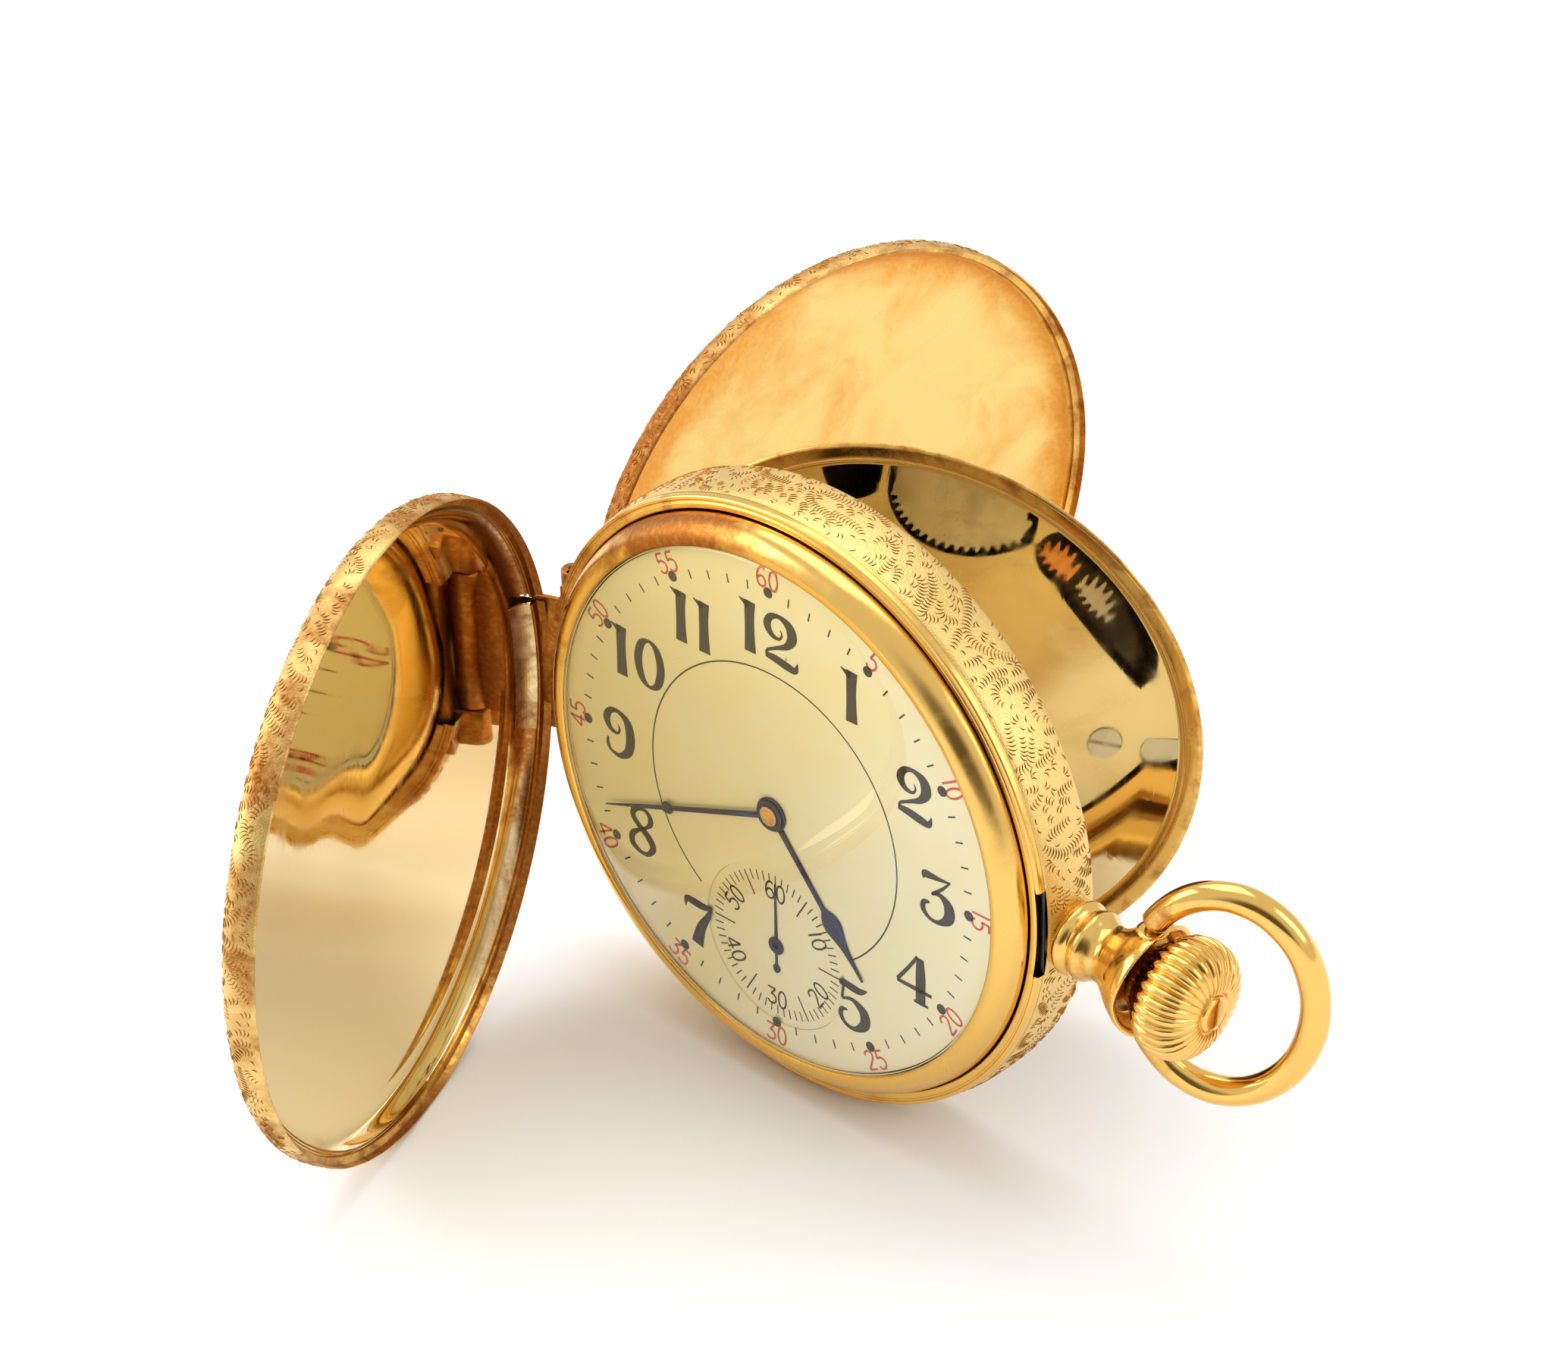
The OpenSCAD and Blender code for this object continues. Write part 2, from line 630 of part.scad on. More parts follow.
centre_pinion_first = 0;
barrel_first = meshed(centre_pinion_first, centre_leaves, dir([0, 0], barrel_at), barrel_teeth);

module barrel() color("darkgoldenrod") difference() {
  union() {
    flat(2.3, 0.5) gear(barrel_at, barrel_teeth, barrel_m, barrel_first);
    post(barrel_at, 8.55, 2.3, 3.95);
  }
  post(barrel_at, 8.15, 2.6, 3.7);
  post(barrel_at, 1.0, 3.0, 5);
  post(barrel_at, 0.6 + gap, 2, 5);
}

module mainspring() color("steelblue") flat(2.75, 0.85) spiral_strip(barrel_at, 1.45, 7.85, 9, 0.22);

module barrel_arbor() color("silver") {
  post(barrel_at, 0.6, 1.0, 4.3);
  post(barrel_at, 0.9, 3.0, 4.35);
  post(barrel_at, 1.5, 4.35, 5.1);
}

ratchet_y = [5.15, 5.75];
ratchet_first = 0;
winding_first = meshed(ratchet_first, ratchet_teeth, dir(barrel_at, winding_at), winding_teeth);
crown_wheel_first = meshed(winding_first, winding_teeth, dir(winding_at, crown_wheel_at), winding_leaves);

module ratchet_wheel() color("silver") difference() {
  flat(ratchet_y[0], 0.6) gear(barrel_at, ratchet_teeth, winding_m, ratchet_first);
  post(barrel_at, 0.6, 5, 7);
}

module winding_wheel() color("chocolate") {
  flat(5.15, 0.22) gear(winding_at, winding_teeth, winding_m, winding_first);
  post(winding_at, 0.6, 4.75, 5.2);
}

module crown_wheel() color("silver") {
  flat(5.15, 0.3) gear(crown_wheel_at, winding_leaves, winding_m, crown_wheel_first);
  difference() {
    flat(5.45, 0.4) gear(crown_wheel_at, crown_wheel_teeth, winding_m, 0);
    post(crown_wheel_at, 0.5, 5.5, 7);
  }
  post(crown_wheel_at, 0.6, 4.75, 5.2);
}

// pawl beside the ratchet wheel, its beak just clear of the teeth
module click() color("silver") {
  flat(5.15, 0.4) {
    translate(click_at) circle(r = 0.9);
    polygon([
      click_at + [-0.5, -0.8],
      click_at + [0.9, 0.1],
      click_at + [1.75, -1.4],
      click_at + [1.6, -1.75]
    ]);
  }
  post(click_at, 0.4, 4.95, 5.7);
}

// ---------- train ----------

third_pinion_first = meshed(0, centre_teeth, dir([0, 0], third_at), train_leaves);
third_first = 0;
fourth_pinion_first = meshed(third_first, third_teeth, dir(third_at, fourth_at), train_leaves);
fourth_first = 0;
escape_pinion_first = meshed(fourth_first, fourth_teeth, dir(fourth_at, escape_at), escape_leaves);

module centre_wheel() color("darkgoldenrod") {
  flat(4.15, 0.25) spoked_gear([0, 0], centre_teeth, centre_m, 6.4, 0, 5, 0.8);
  flat(2.3, 0.75) gear([0, 0], centre_leaves, barrel_m, centre_pinion_first);
  post([0, 0], 0.45, -0.52, 4.2);
  post([0, 0], 0.7, 3.0, 4.2);
  post([0, 0], pivot_r, 4.1, 5.4);
}

module third_wheel() color("darkgoldenrod") {
  flat(3.35, 0.2) spoked_gear(third_at, third_teeth, third_m, 5.9, third_first, 5, 0.7);
  flat(3.5, 0.95) gear(third_at, train_leaves, centre_m, third_pinion_first);
  post(third_at, pivot_r, 2.0, 5.4);
}

module fourth_wheel() color("darkgoldenrod") {
  flat(3.75, 0.2) spoked_gear(fourth_at, fourth_teeth, fourth_m, 5.1, fourth_first, 5, 0.6);
  flat(3.2, 0.6) gear(fourth_at, train_leaves, third_m, fourth_pinion_first);
  post(fourth_at, pivot_r, 0.0, 5.4);
}

escape_r = 3.3;
// club tooth of the escape wheel
function club(i) = let (a = i * 24) [
  2.55 * [cos(a), sin(a)], escape_r * [cos(a + 5.0), sin(a + 5.0)],
  (escape_r - 0.22) * [cos(a + 10.5), sin(a + 10.5)], 2.55 * [cos(a + 9), sin(a + 9)]
];

module escape_wheel() color("silver") {
  flat(3.25, 0.2) {
    translate(escape_at) difference() {
      polygon([for (i = [0 : 14]) each club(i)]);
      circle(r = 2.05);
    }
    spoked(escape_at, 4, 2.1, 0.8, 0.5);
  }
  flat(3.4, 0.75) gear(escape_at, escape_leaves, fourth_m, escape_pinion_first);
  post(escape_at, pivot_r, 2.0, 5.4);
}

fork_turn = dir(fork_at, balance_at);

module pallet_fork() color("silver") {
  flat(3.25, 0.25) translate(fork_at) rotate(fork_turn) difference() {
    union() {
      circle(r = 0.75);
      polygon([[0, -0.35], [3.6, -0.22], [4.5, -0.55], [4.5, 0.55], [3.6, 0.22], [0, 0.35]]);
      polygon([[0.2, -0.4], [0.2, 0.4], [-0.7, 1.85], [-1.15, 1.6], [-0.6, 0], [-1.15, -1.6], [-0.7, -1.85]]);
    }
    translate([4.1, -0.2]) square([2, 0.4]);
  }
  post(fork_at, pivot_r, 2.0, 3.6);
}

balance_r = 6.3;

module balance_wheel() color("darkgoldenrod") {
  flat(3.7, 0.35) translate(balance_at) {
    difference() {
      circle(r = balance_r);
      circle(r = balance_r - 0.6);
    }
    circle(r = 1.0);
    rotate(25) translate([-balance_r + 0.3, -0.45]) square([2 * balance_r - 0.6, 0.9]);
  }
  for (i = [0 : 13]) let (a = 25 + i * 360 / 14)
    translate([balance_at[0], 3.875, balance_at[1]]) rotate([0, -a, 0]) translate([balance_r - 0.05, 0, 0])
      rotate([0, 90, 0]) cylinder(r = 0.24, h = 0.42, $fn = 24);
  post(balance_at, pivot_r, 2.0, 5.5);
}

module hairspring() color("steelblue") flat(4.45, 0.2) spiral_strip(balance_at, 0.75, 4.1, 9, 0.09);

module regulator() color("silver") difference() {
  flat(6.05, 0.25) translate(balance_at) {
    circle(r = 1.9);
    rotate(118) polygon([[0, -0.55], [3.2, -0.3], [6.9, -0.12], [6.9, 0.12], [3.2, 0.3], [0, 0.55]]);
    rotate(-62) polygon([[0, -0.5], [2.9, -0.35], [2.9, 0.35], [0, 0.5]]);
  }
  post(balance_at, 1.25 + gap, 5, 8);
}

// ---------- jewels and screws ----------

module jewel(at, r, y0, y1) difference() {
  post(at, r, y0, y1);
  post(at, pivot_r + gap, y0 - 1, y1 - 0.25);
  translate([at[0], y1 + 0.42, at[1]]) sphere(r = 0.62);
}

module train_jewels() color("crimson") for (p = train_pivots) jewel(p, 0.75, 5.0, 5.8);

module balance_jewel() color("crimson") {
  jewel(balance_at, 0.75, 5.2, 5.8);
}

module plate_screws() color("silver")
  for (i = [0 : len(plate_screw_at) - 1]) screw(plate_screw_at[i], 1.2, 5.5, 6.1, 0.5, 2.6, 40 * i + 15);

module case_screws() color("silver")
  for (i = [0 : len(case_screw_at) - 1]) screw(case_screw_at[i], 1.1, 5.5, 5.85, 0.4, 5.3, 70 * i + 100);

module cock_screw() color("silver") screw(cock_foot, 1.2, 5.5, 6.1, 0.5, 2.6, 60);

module ratchet_screws() color("silver") screw(barrel_at, 1.3, 5.75, 6.05, 0.6, 5.1, 20);

case_center();
bezel();
crystal();
front_cover();
front_hinge_pin();
back_cover();
cuvette();
back_hinge_pin();
lock_catch();
lift_spring();
pendant();
bow();
crown();
winding_stem();
stem_collar();
dial();
seconds_dial();
hour_hand();
minute_hand();
seconds_hand();
cannon_pinion();
hour_wheel();
minute_wheel();
pillar_plate();
top_plate();
balance_cock();
barrel();
mainspring();
barrel_arbor();
ratchet_wheel();
winding_wheel();
crown_wheel();
click();
centre_wheel();
third_wheel();
fourth_wheel();
escape_wheel();
pallet_fork();
balance_wheel();
hairspring();
regulator();
train_jewels();
balance_jewel();
plate_screws();
case_screws();
cock_screw();
ratchet_screws();
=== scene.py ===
import json
import math
import random

import bmesh
import bpy
from mathutils import Matrix, Vector, noise


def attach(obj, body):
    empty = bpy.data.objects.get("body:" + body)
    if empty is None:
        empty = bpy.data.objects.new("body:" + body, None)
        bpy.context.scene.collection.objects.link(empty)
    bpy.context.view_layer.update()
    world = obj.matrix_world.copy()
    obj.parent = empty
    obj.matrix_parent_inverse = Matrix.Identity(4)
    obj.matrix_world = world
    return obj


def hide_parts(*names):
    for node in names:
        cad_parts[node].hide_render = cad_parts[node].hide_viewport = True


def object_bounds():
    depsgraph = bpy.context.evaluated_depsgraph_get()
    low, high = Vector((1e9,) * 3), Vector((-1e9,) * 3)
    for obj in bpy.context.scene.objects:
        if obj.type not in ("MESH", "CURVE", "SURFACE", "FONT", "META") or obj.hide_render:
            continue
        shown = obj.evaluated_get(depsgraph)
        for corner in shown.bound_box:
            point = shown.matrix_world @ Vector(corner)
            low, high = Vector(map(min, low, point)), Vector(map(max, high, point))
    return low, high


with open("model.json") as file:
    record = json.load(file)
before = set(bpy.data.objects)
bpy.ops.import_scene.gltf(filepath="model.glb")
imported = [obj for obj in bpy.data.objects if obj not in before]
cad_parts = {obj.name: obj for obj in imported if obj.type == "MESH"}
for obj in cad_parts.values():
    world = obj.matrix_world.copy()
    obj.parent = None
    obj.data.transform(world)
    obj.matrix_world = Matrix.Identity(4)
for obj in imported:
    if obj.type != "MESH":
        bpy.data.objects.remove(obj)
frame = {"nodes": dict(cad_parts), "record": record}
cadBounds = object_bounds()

mm = 0.001          # everything below is drawn in millimetres
hunterCase = {"radius": 24.85, "frontHinge": (-24.47, 4.18), "backHinge": (-25.2, 7.1),
              "frontOpen": 68.6, "backOpen": 81.5, "dustOpen": 24.6,
              "frontRim": 1.85, "frontRise": 4.15, "backRim": 7.15, "backRise": 3.75, "coverWall": 0.42,
              "pendantDepth": 4.45, "pendantSide": -1.2}
print("frame loaded")


def makePiece(name, verts, faces, materials, body, slotName, replaced=(), faceMaterial=None, smooth=True,
              marks=None):
    mesh = bpy.data.meshes.new(name)
    mesh.from_pydata([Vector(v) * mm for v in verts], [], faces)
    for material in materials:
        mesh.materials.append(material)
    if faceMaterial:
        mesh.polygons.foreach_set("material_index", faceMaterial)
    if marks:      # one float per vertex, read by the materials as "wear"
        mesh.attributes.new("wear", "FLOAT", "POINT").data.foreach_set("value", marks)
    bm = bmesh.new()
    bm.from_mesh(mesh)
    bmesh.ops.remove_doubles(bm, verts=bm.verts, dist=0.0005 * mm)
    bmesh.ops.recalc_face_normals(bm, faces=bm.faces)
    bm.to_mesh(mesh)
    bm.free()
    mesh.polygons.foreach_set("use_smooth", [smooth] * len(mesh.polygons))
    piece = bpy.data.objects.new(name, mesh)
    bpy.context.collection.objects.link(piece)
    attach(piece, body)
    if replaced:
        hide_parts(*replaced)
    return piece


# closed outline with its corners rounded; points are (a, b, size of the rounding)
def roundCorners(points, steps=4):
    out = []
    for i, (a, b, size) in enumerate(points):
        here = Vector((a, b))
        if size <= 0:
            out.append((a, b))
            continue
        before = Vector(points[i - 1][:2]) - here
        after = Vector(points[(i + 1) % len(points)][:2]) - here
        p = here + before.normalized() * min(size, before.length * 0.49)
        q = here + after.normalized() * min(size, after.length * 0.49)
        for k in range(steps + 1):
            t = k / steps
            out.append(tuple(p * (1 - t) ** 2 + here * 2 * t * (1 - t) + q * t * t))
    return out


# quads between each ring of points and the next, the last ring meeting the first
def ringFaces(steps, count, closed=True):
    faces = []
    for s in range(steps):
        here, after = s * count, (s + 1) % steps * count
        for k in range(count if closed else count - 1):
            j = (k + 1) % count
            faces.append((here + k, here + j, after + j, after + k))
    return faces


# solid turned about the hands' axis from a closed outline of (radius, depth)
def turned(outline, steps=360, warp=None, centre=(0, 0)):
    verts = []
    for s in range(steps):
        angle = 2 * math.pi * s / steps
        for k, (r, y) in enumerate(outline):
            if warp:
                r, y = warp(r, y, angle, k)
            verts.append((centre[0] + r * math.cos(angle), y, centre[1] + r * math.sin(angle)))
    return verts, ringFaces(steps, len(outline)), list(range(len(outline))) * steps


# the same, turned about the pendant's axis from an outline of (distance out, radius)
def turnedOnPendant(outline, steps=96, warp=None):
    verts = []
    for s in range(steps):
        angle = 2 * math.pi * s / steps
        for k, (x, r) in enumerate(outline):
            if warp:
                x, r = warp(x, r, angle, k)
            verts.append(onPendant((x, r * math.cos(angle), r * math.sin(angle))))
    return verts, ringFaces(steps, len(outline))


def aboutHinge(point, hinge, degrees):
    c, s = math.cos(math.radians(degrees)), math.sin(math.radians(degrees))
    x, y = point[0] - hinge[0], point[1] - hinge[1]
    return (hinge[0] + x * c - y * s, hinge[1] + x * s + y * c, point[2])


# rod along a cover's hinge at nine o'clock, with its ends cut back
def hingeRod(hinge, radius, z0, z1, steps=32, soft=0.12):
    verts = []
    ends = [(0, z0), (radius - soft, z0), (radius, z0 + soft), (radius, z1 - soft), (radius - soft, z1),
            (0, z1)]
    for s in range(steps):
        angle = 2 * math.pi * s / steps
        for r, z in ends:
            verts.append((hinge[0] + r * math.cos(angle), hinge[1] + r * math.sin(angle), z))
    return verts, ringFaces(steps, len(ends), closed=False)


def joinMeshes(parts):
    verts, faces = [], []
    for part in parts:
        base = len(verts)
        verts += part[0]
        faces += [tuple(i + base for i in face) for face in part[1]]
    return verts, faces


# block between two corners with its edges cut back
def softBlock(low, high, cut=0.1):
    bm = bmesh.new()
    bmesh.ops.create_cube(bm, size=1)
    for v in bm.verts:
        v.co = Vector([low[i] + (v.co[i] + 0.5) * (high[i] - low[i]) for i in range(3)])
    bmesh.ops.bevel(bm, geom=bm.edges, offset=cut, segments=2, affect="EDGES", profile=0.5)
    verts = [tuple(v.co) for v in bm.verts]
    faces = [tuple(v.index for v in f.verts) for f in bm.faces]
    bm.free()
    return verts, faces


def newGroup(name, inputs, outputs):
    group = bpy.data.node_groups.new(name, "ShaderNodeTree")
    for label, kind, value in inputs:
        socket = group.interface.new_socket(label, in_out="INPUT", socket_type=kind)
        socket.default_value = value
    for label, kind in outputs:
        group.interface.new_socket(label, in_out="OUTPUT", socket_type=kind)
    return group, group.nodes.new("NodeGroupInput"), group.nodes.new("NodeGroupOutput")


def addNode(tree, kind, values=None, **settings):
    node = tree.nodes.new("ShaderNode" + kind)
    for key, value in settings.items():
        setattr(node, key, value)
    for key, value in (values or {}).items():
        node.inputs[key].default_value = value
    return node


def mathNode(tree, operation, a, b=None, clamp=False):
    node = addNode(tree, "Math", operation=operation, use_clamp=clamp)
    for index, value in enumerate((a, b)):
        if value is None:
            continue
        if hasattr(value, "is_output"):
            tree.links.new(value, node.inputs[index])
        else:
            node.inputs[index].default_value = value
    return node.outputs[0]


def mixColour(tree, factor, a, b):
    node = addNode(tree, "Mix", data_type="RGBA")
    for socket, value in ((node.inputs[0], factor), (node.inputs[6], a), (node.inputs[7], b)):
        if hasattr(value, "is_output"):
            tree.links.new(value, socket)
        else:
            socket.default_value = value
    return node.outputs[2]


def objectNoise(tree, scale, detail=4.0, rough=0.55, distortion=0.0):
    place = addNode(tree, "TexCoord")
    node = addNode(tree, "TexNoise", {"Detail": detail, "Roughness": rough, "Distortion": distortion})
    tree.links.new(place.outputs["Object"], node.inputs["Vector"])
    if hasattr(scale, "is_output"):
        tree.links.new(scale, node.inputs["Scale"])
    else:
        node.inputs["Scale"].default_value = scale
    return node


def rampMask(tree, value, low, high):
    node = addNode(tree, "MapRange", interpolation_type="SMOOTHSTEP")
    tree.links.new(value, node.inputs["Value"])
    for key, edge in (("From Min", low), ("From Max", high)):
        if hasattr(edge, "is_output"):
            tree.links.new(edge, node.inputs[key])
        else:
            node.inputs[key].default_value = edge
    return node.outputs["Result"]


# brown tarnish that gathers where a piece's "wear" is high
def buildTarnish():
    group, gin, gout = newGroup("tarnish",
        [("Clean", "NodeSocketColor", (1, 0.8, 0.4, 1)), ("Stain", "NodeSocketColor", (0.5, 0.2, 0.05, 1)),
         ("Scale", "NodeSocketFloat", 300.0), ("Amount", "NodeSocketFloat", 0.5)],
        [("Colour", "NodeSocketColor"), ("Mask", "NodeSocketFloat")])
    cloud = objectNoise(group, gin.outputs["Scale"], 6.0, 0.6, 0.6)
    wear = addNode(group, "Attribute", attribute_name="wear")
    total = mathNode(group, "ADD", mathNode(group, "MULTIPLY", wear.outputs["Fac"], 0.75),
                     cloud.outputs["Fac"])
    level = mathNode(group, "SUBTRACT", 1.15, gin.outputs["Amount"])
    mask = rampMask(group, total, level, mathNode(group, "ADD", level, 0.42))
    fine = objectNoise(group, 2600.0, 3.0, 0.6)
    speck = mathNode(group, "MULTIPLY", mask, mathNode(group, "ADD", fine.outputs["Fac"], 0.45), clamp=True)
    group.links.new(mixColour(group, speck, gin.outputs["Clean"], gin.outputs["Stain"]),
                    gout.inputs["Colour"])
    group.links.new(speck, gout.inputs["Mask"])
    return group


# haze and handling marks that break up a polish
def buildHaze():
    group, gin, gout = newGroup("haze",
        [("Polish", "NodeSocketFloat", 0.08), ("Haze", "NodeSocketFloat", 0.2),
         ("Scale", "NodeSocketFloat", 180.0)],
        [("Roughness", "NodeSocketFloat"), ("Mask", "NodeSocketFloat")])
    cloud = objectNoise(group, gin.outputs["Scale"], 7.0, 0.65, 1.2)
    mask = rampMask(group, cloud.outputs["Fac"], 0.42, 0.72)
    value = mathNode(group, "ADD", gin.outputs["Polish"],
                     mathNode(group, "MULTIPLY", mask, gin.outputs["Haze"]))
    group.links.new(value, gout.inputs["Roughness"])
    group.links.new(mask, gout.inputs["Mask"])
    return group


# fine parallel scratches crossing at two angles, over soft dents
def buildHairlines():
    group, gin, gout = newGroup("hairlines",
        [("Scratch", "NodeSocketFloat", 0.5), ("Dent", "NodeSocketFloat", 0.5),
         ("Scale", "NodeSocketFloat", 400.0)],
        [("Height", "NodeSocketFloat")])
    place = addNode(group, "TexCoord")
    total = None
    for turn in ((0.3, 0.9, 0.4), (1.4, 0.2, 2.1)):
        mapping = addNode(group, "Mapping", {"Rotation": turn, "Scale": (1, 22, 1)})
        group.links.new(place.outputs["Object"], mapping.inputs["Vector"])
        lines = addNode(group, "TexNoise", {"Detail": 2.0, "Roughness": 0.5})
        group.links.new(mapping.outputs[0], lines.inputs["Vector"])
        group.links.new(gin.outputs["Scale"], lines.inputs["Scale"])
        cut = rampMask(group, lines.outputs["Fac"], 0.62, 0.7)
        total = cut if total is None else mathNode(group, "ADD", total, cut)
    dents = objectNoise(group, 160.0, 2.0, 0.5)
    scratches = mathNode(group, "MULTIPLY", total, mathNode(group, "MULTIPLY", gin.outputs["Scratch"], -0.02))
    hollow = mathNode(group, "MULTIPLY", dents.outputs["Fac"], gin.outputs["Dent"])
    group.links.new(mathNode(group, "ADD", scratches, hollow), gout.inputs["Height"])
    return group


# stippled ground left by the chasing tool
def buildStipple():
    group, gin, gout = newGroup("stippledGround",
        [("Scale", "NodeSocketFloat", 5000.0), ("Depth", "NodeSocketFloat", 1.0)],
        [("Height", "NodeSocketFloat"), ("Pits", "NodeSocketFloat")])
    place = addNode(group, "TexCoord")
    cells = addNode(group, "TexVoronoi", feature="F1")
    group.links.new(place.outputs["Object"], cells.inputs["Vector"])
    group.links.new(gin.outputs["Scale"], cells.inputs["Scale"])
    pits = rampMask(group, cells.outputs["Distance"], 0.15, 0.6)
    group.links.new(mathNode(group, "MULTIPLY", pits, gin.outputs["Depth"]), gout.inputs["Height"])
    group.links.new(pits, gout.inputs["Pits"])
    return group


tarnishGroup, hazeGroup = buildTarnish(), buildHaze()
hairlineGroup, stippleGroup = buildHairlines(), buildStipple()


def useGroup(tree, group, values):
    node = tree.nodes.new("ShaderNodeGroup")
    node.node_tree = group
    for key, value in values.items():
        node.inputs[key].default_value = value
    return node


def newMaterial(name, **constants):
    material = bpy.data.materials.new(name)
    material.use_nodes = True
    shader = material.node_tree.nodes["Principled BSDF"]
    for key, value in constants.items():
        shader.inputs[key.replace("_", " ")].default_value = value
    return material, material.node_tree, shader


def bumpInto(tree, shader, height, strength, distance):
    bump = addNode(tree, "Bump", {"Strength": strength, "Distance": distance})
    tree.links.new(height, bump.inputs["Height"])
    tree.links.new(bump.outputs["Normal"], shader.inputs["Normal"])


# gold in its several finishes: clean and stained colours, tarnish, polish, haze, scratches and dents
def goldFinish(name, clean, stain, amount, stainScale, polish, hazeAmount, scratch, dent, stipple=0.0):
    material, tree, shader = newMaterial(name, Metallic=1.0)
    tarnish = useGroup(tree, tarnishGroup,
                       {"Clean": clean, "Stain": stain, "Scale": stainScale, "Amount": amount})
    tree.links.new(tarnish.outputs["Colour"], shader.inputs["Base Color"])
    film = useGroup(tree, hazeGroup, {"Polish": polish, "Haze": hazeAmount, "Scale": 220.0})
    rough = mathNode(tree, "ADD", film.outputs["Roughness"],
                     mathNode(tree, "MULTIPLY", tarnish.outputs["Mask"], 0.22))
    lines = useGroup(tree, hairlineGroup, {"Scratch": scratch, "Dent": dent, "Scale": 300.0})
    height = lines.outputs["Height"]
    if stipple:
        ground = useGroup(tree, stippleGroup, {"Scale": 5200.0, "Depth": stipple})
        height = mathNode(tree, "ADD", height, ground.outputs["Height"])
        rough = mathNode(tree, "ADD", rough, mathNode(tree, "MULTIPLY", ground.outputs["Pits"], 0.08))
    tree.links.new(rough, shader.inputs["Roughness"])
    bumpInto(tree, shader, height, 0.6, 0.00006)
    return material


goldTones = {"pale": (0.94, 0.76, 0.42, 1), "bright": (1.0, 0.82, 0.46, 1),
             "deep": (0.84, 0.52, 0.14, 1), "ground": (0.82, 0.58, 0.21, 1), "satin": (0.84, 0.61, 0.21, 1),
             # "line" is painted shade: the near-black brown of the chased cuts
             "line": (0.30, 0.12, 0.02, 1),
             "brown": (0.40, 0.14, 0.025, 1), "orange": (0.80, 0.36, 0.06, 1), "plum": (0.27, 0.10, 0.05, 1)}
goldBezel = goldFinish("goldBezel", goldTones["deep"], goldTones["brown"], 0.50, 260.0, 0.17, 0.16, 0.6, 0.5)
goldLip = goldFinish("goldLip", goldTones["deep"], goldTones["brown"], 0.50, 320.0, 0.18, 0.2, 0.8, 0.5)
goldMirror = goldFinish("goldMirror", goldTones["bright"], goldTones["brown"], 0.36, 120.0, 0.025, 0.05, 0.25,
                        0.12)
goldSatin = goldFinish("goldSatin", goldTones["satin"], goldTones["orange"], 0.74, 130.0, 0.2, 0.14, 0.5, 0.6)
goldRim = goldFinish("goldRim", goldTones["deep"], goldTones["brown"], 0.42, 420.0, 0.18, 0.2, 0.9, 0.6)
goldGround = goldFinish("goldGround", goldTones["ground"], goldTones["brown"], 0.38, 260.0, 0.34, 0.1, 0.2,
                        0.4, 0.4)
# the chased cuts are coloured near-black brown gold as painted shade in the cuts
goldCutPaintedShade = goldFinish("goldCutPaintedShade", goldTones["line"], goldTones["brown"], 0.55, 300.0, 0.2, 0.1, 0.2, 0.3)
goldPolished = goldFinish("goldPolished", goldTones["deep"], goldTones["brown"], 0.40, 300.0, 0.1, 0.14, 0.7,
                          0.4)
goldHinge = goldFinish("goldHinge", goldTones["deep"], goldTones["brown"], 0.70, 240.0, 0.24, 0.2, 0.9, 0.8)
goldTab = goldFinish("goldTab", goldTones["pale"], goldTones["brown"], 0.62, 500.0, 0.24, 0.2, 0.9, 0.8)
print("gold finishes ready")


def enamelFinish():
    material, tree, shader = newMaterial("enamel", Specular_IOR_Level=0.5, Coat_Weight=0.3,
                                         Coat_Roughness=0.05)
    cloud = objectNoise(tree, 90.0, 3.0, 0.5)
    specks = objectNoise(tree, 900.0, 2.0, 0.5)
    # painted reflection of the gold lid: the enamel is coloured more yellow toward ten o'clock, mixed with a
    # random mottle
    place = addNode(tree, "TexCoord")
    lean = addNode(tree, "VectorMath", operation="DOT_PRODUCT")
    tree.links.new(place.outputs["Object"], lean.inputs[0])
    lean.inputs[1].default_value = (-0.8, 0.0, 0.6)
    paintedLidReflectionAndMottle = mathNode(tree, "ADD", mathNode(tree, "MULTIPLY", lean.outputs["Value"], 24.0),
                    cloud.outputs["Fac"])
    colour = mixColour(tree, rampMask(tree, paintedLidReflectionAndMottle, 0.1, 0.9), (0.90, 0.83, 0.54, 1), (0.89, 0.74, 0.32, 1))
    dots = rampMask(tree, specks.outputs["Fac"], 0.76, 0.79)
    tree.links.new(mixColour(tree, dots, colour, (0.45, 0.33, 0.12, 1)), shader.inputs["Base Color"])
    film = useGroup(tree, hazeGroup, {"Polish": 0.16, "Haze": 0.1, "Scale": 260.0})
    tree.links.new(film.outputs["Roughness"], shader.inputs["Roughness"])
    return material


def printedFinish(name, dark, worn):
    material, tree, shader = newMaterial(name)
    grain = objectNoise(tree, 2200.0, 4.0, 0.6)
    tree.links.new(mixColour(tree, rampMask(tree, grain.outputs["Fac"], 0.4, 0.8), dark, worn),
                   shader.inputs["Base Color"])
    tree.links.new(mathNode(tree, "ADD", mathNode(tree, "MULTIPLY", grain.outputs["Fac"], 0.2), 0.3),
                   shader.inputs["Roughness"])
    return material


# steel, brass and gilt of the movement, brushed or grained
def metalFinish(name, colour, worn, polish, hazeAmount, scratch, scale=420.0):
    material, tree, shader = newMaterial(name, Metallic=1.0)
    cloud = objectNoise(tree, scale, 5.0, 0.6, 0.4)
    tree.links.new(mixColour(tree, rampMask(tree, cloud.outputs["Fac"], 0.4, 0.75), colour, worn),
                   shader.inputs["Base Color"])
    film = useGroup(tree, hazeGroup, {"Polish": polish, "Haze": hazeAmount, "Scale": scale})
    tree.links.new(film.outputs["Roughness"], shader.inputs["Roughness"])
    lines = useGroup(tree, hairlineGroup, {"Scratch": scratch, "Dent": 0.15, "Scale": 500.0})
    bumpInto(tree, shader, lines.outputs["Height"], 0.5, 0.00004)
    return material


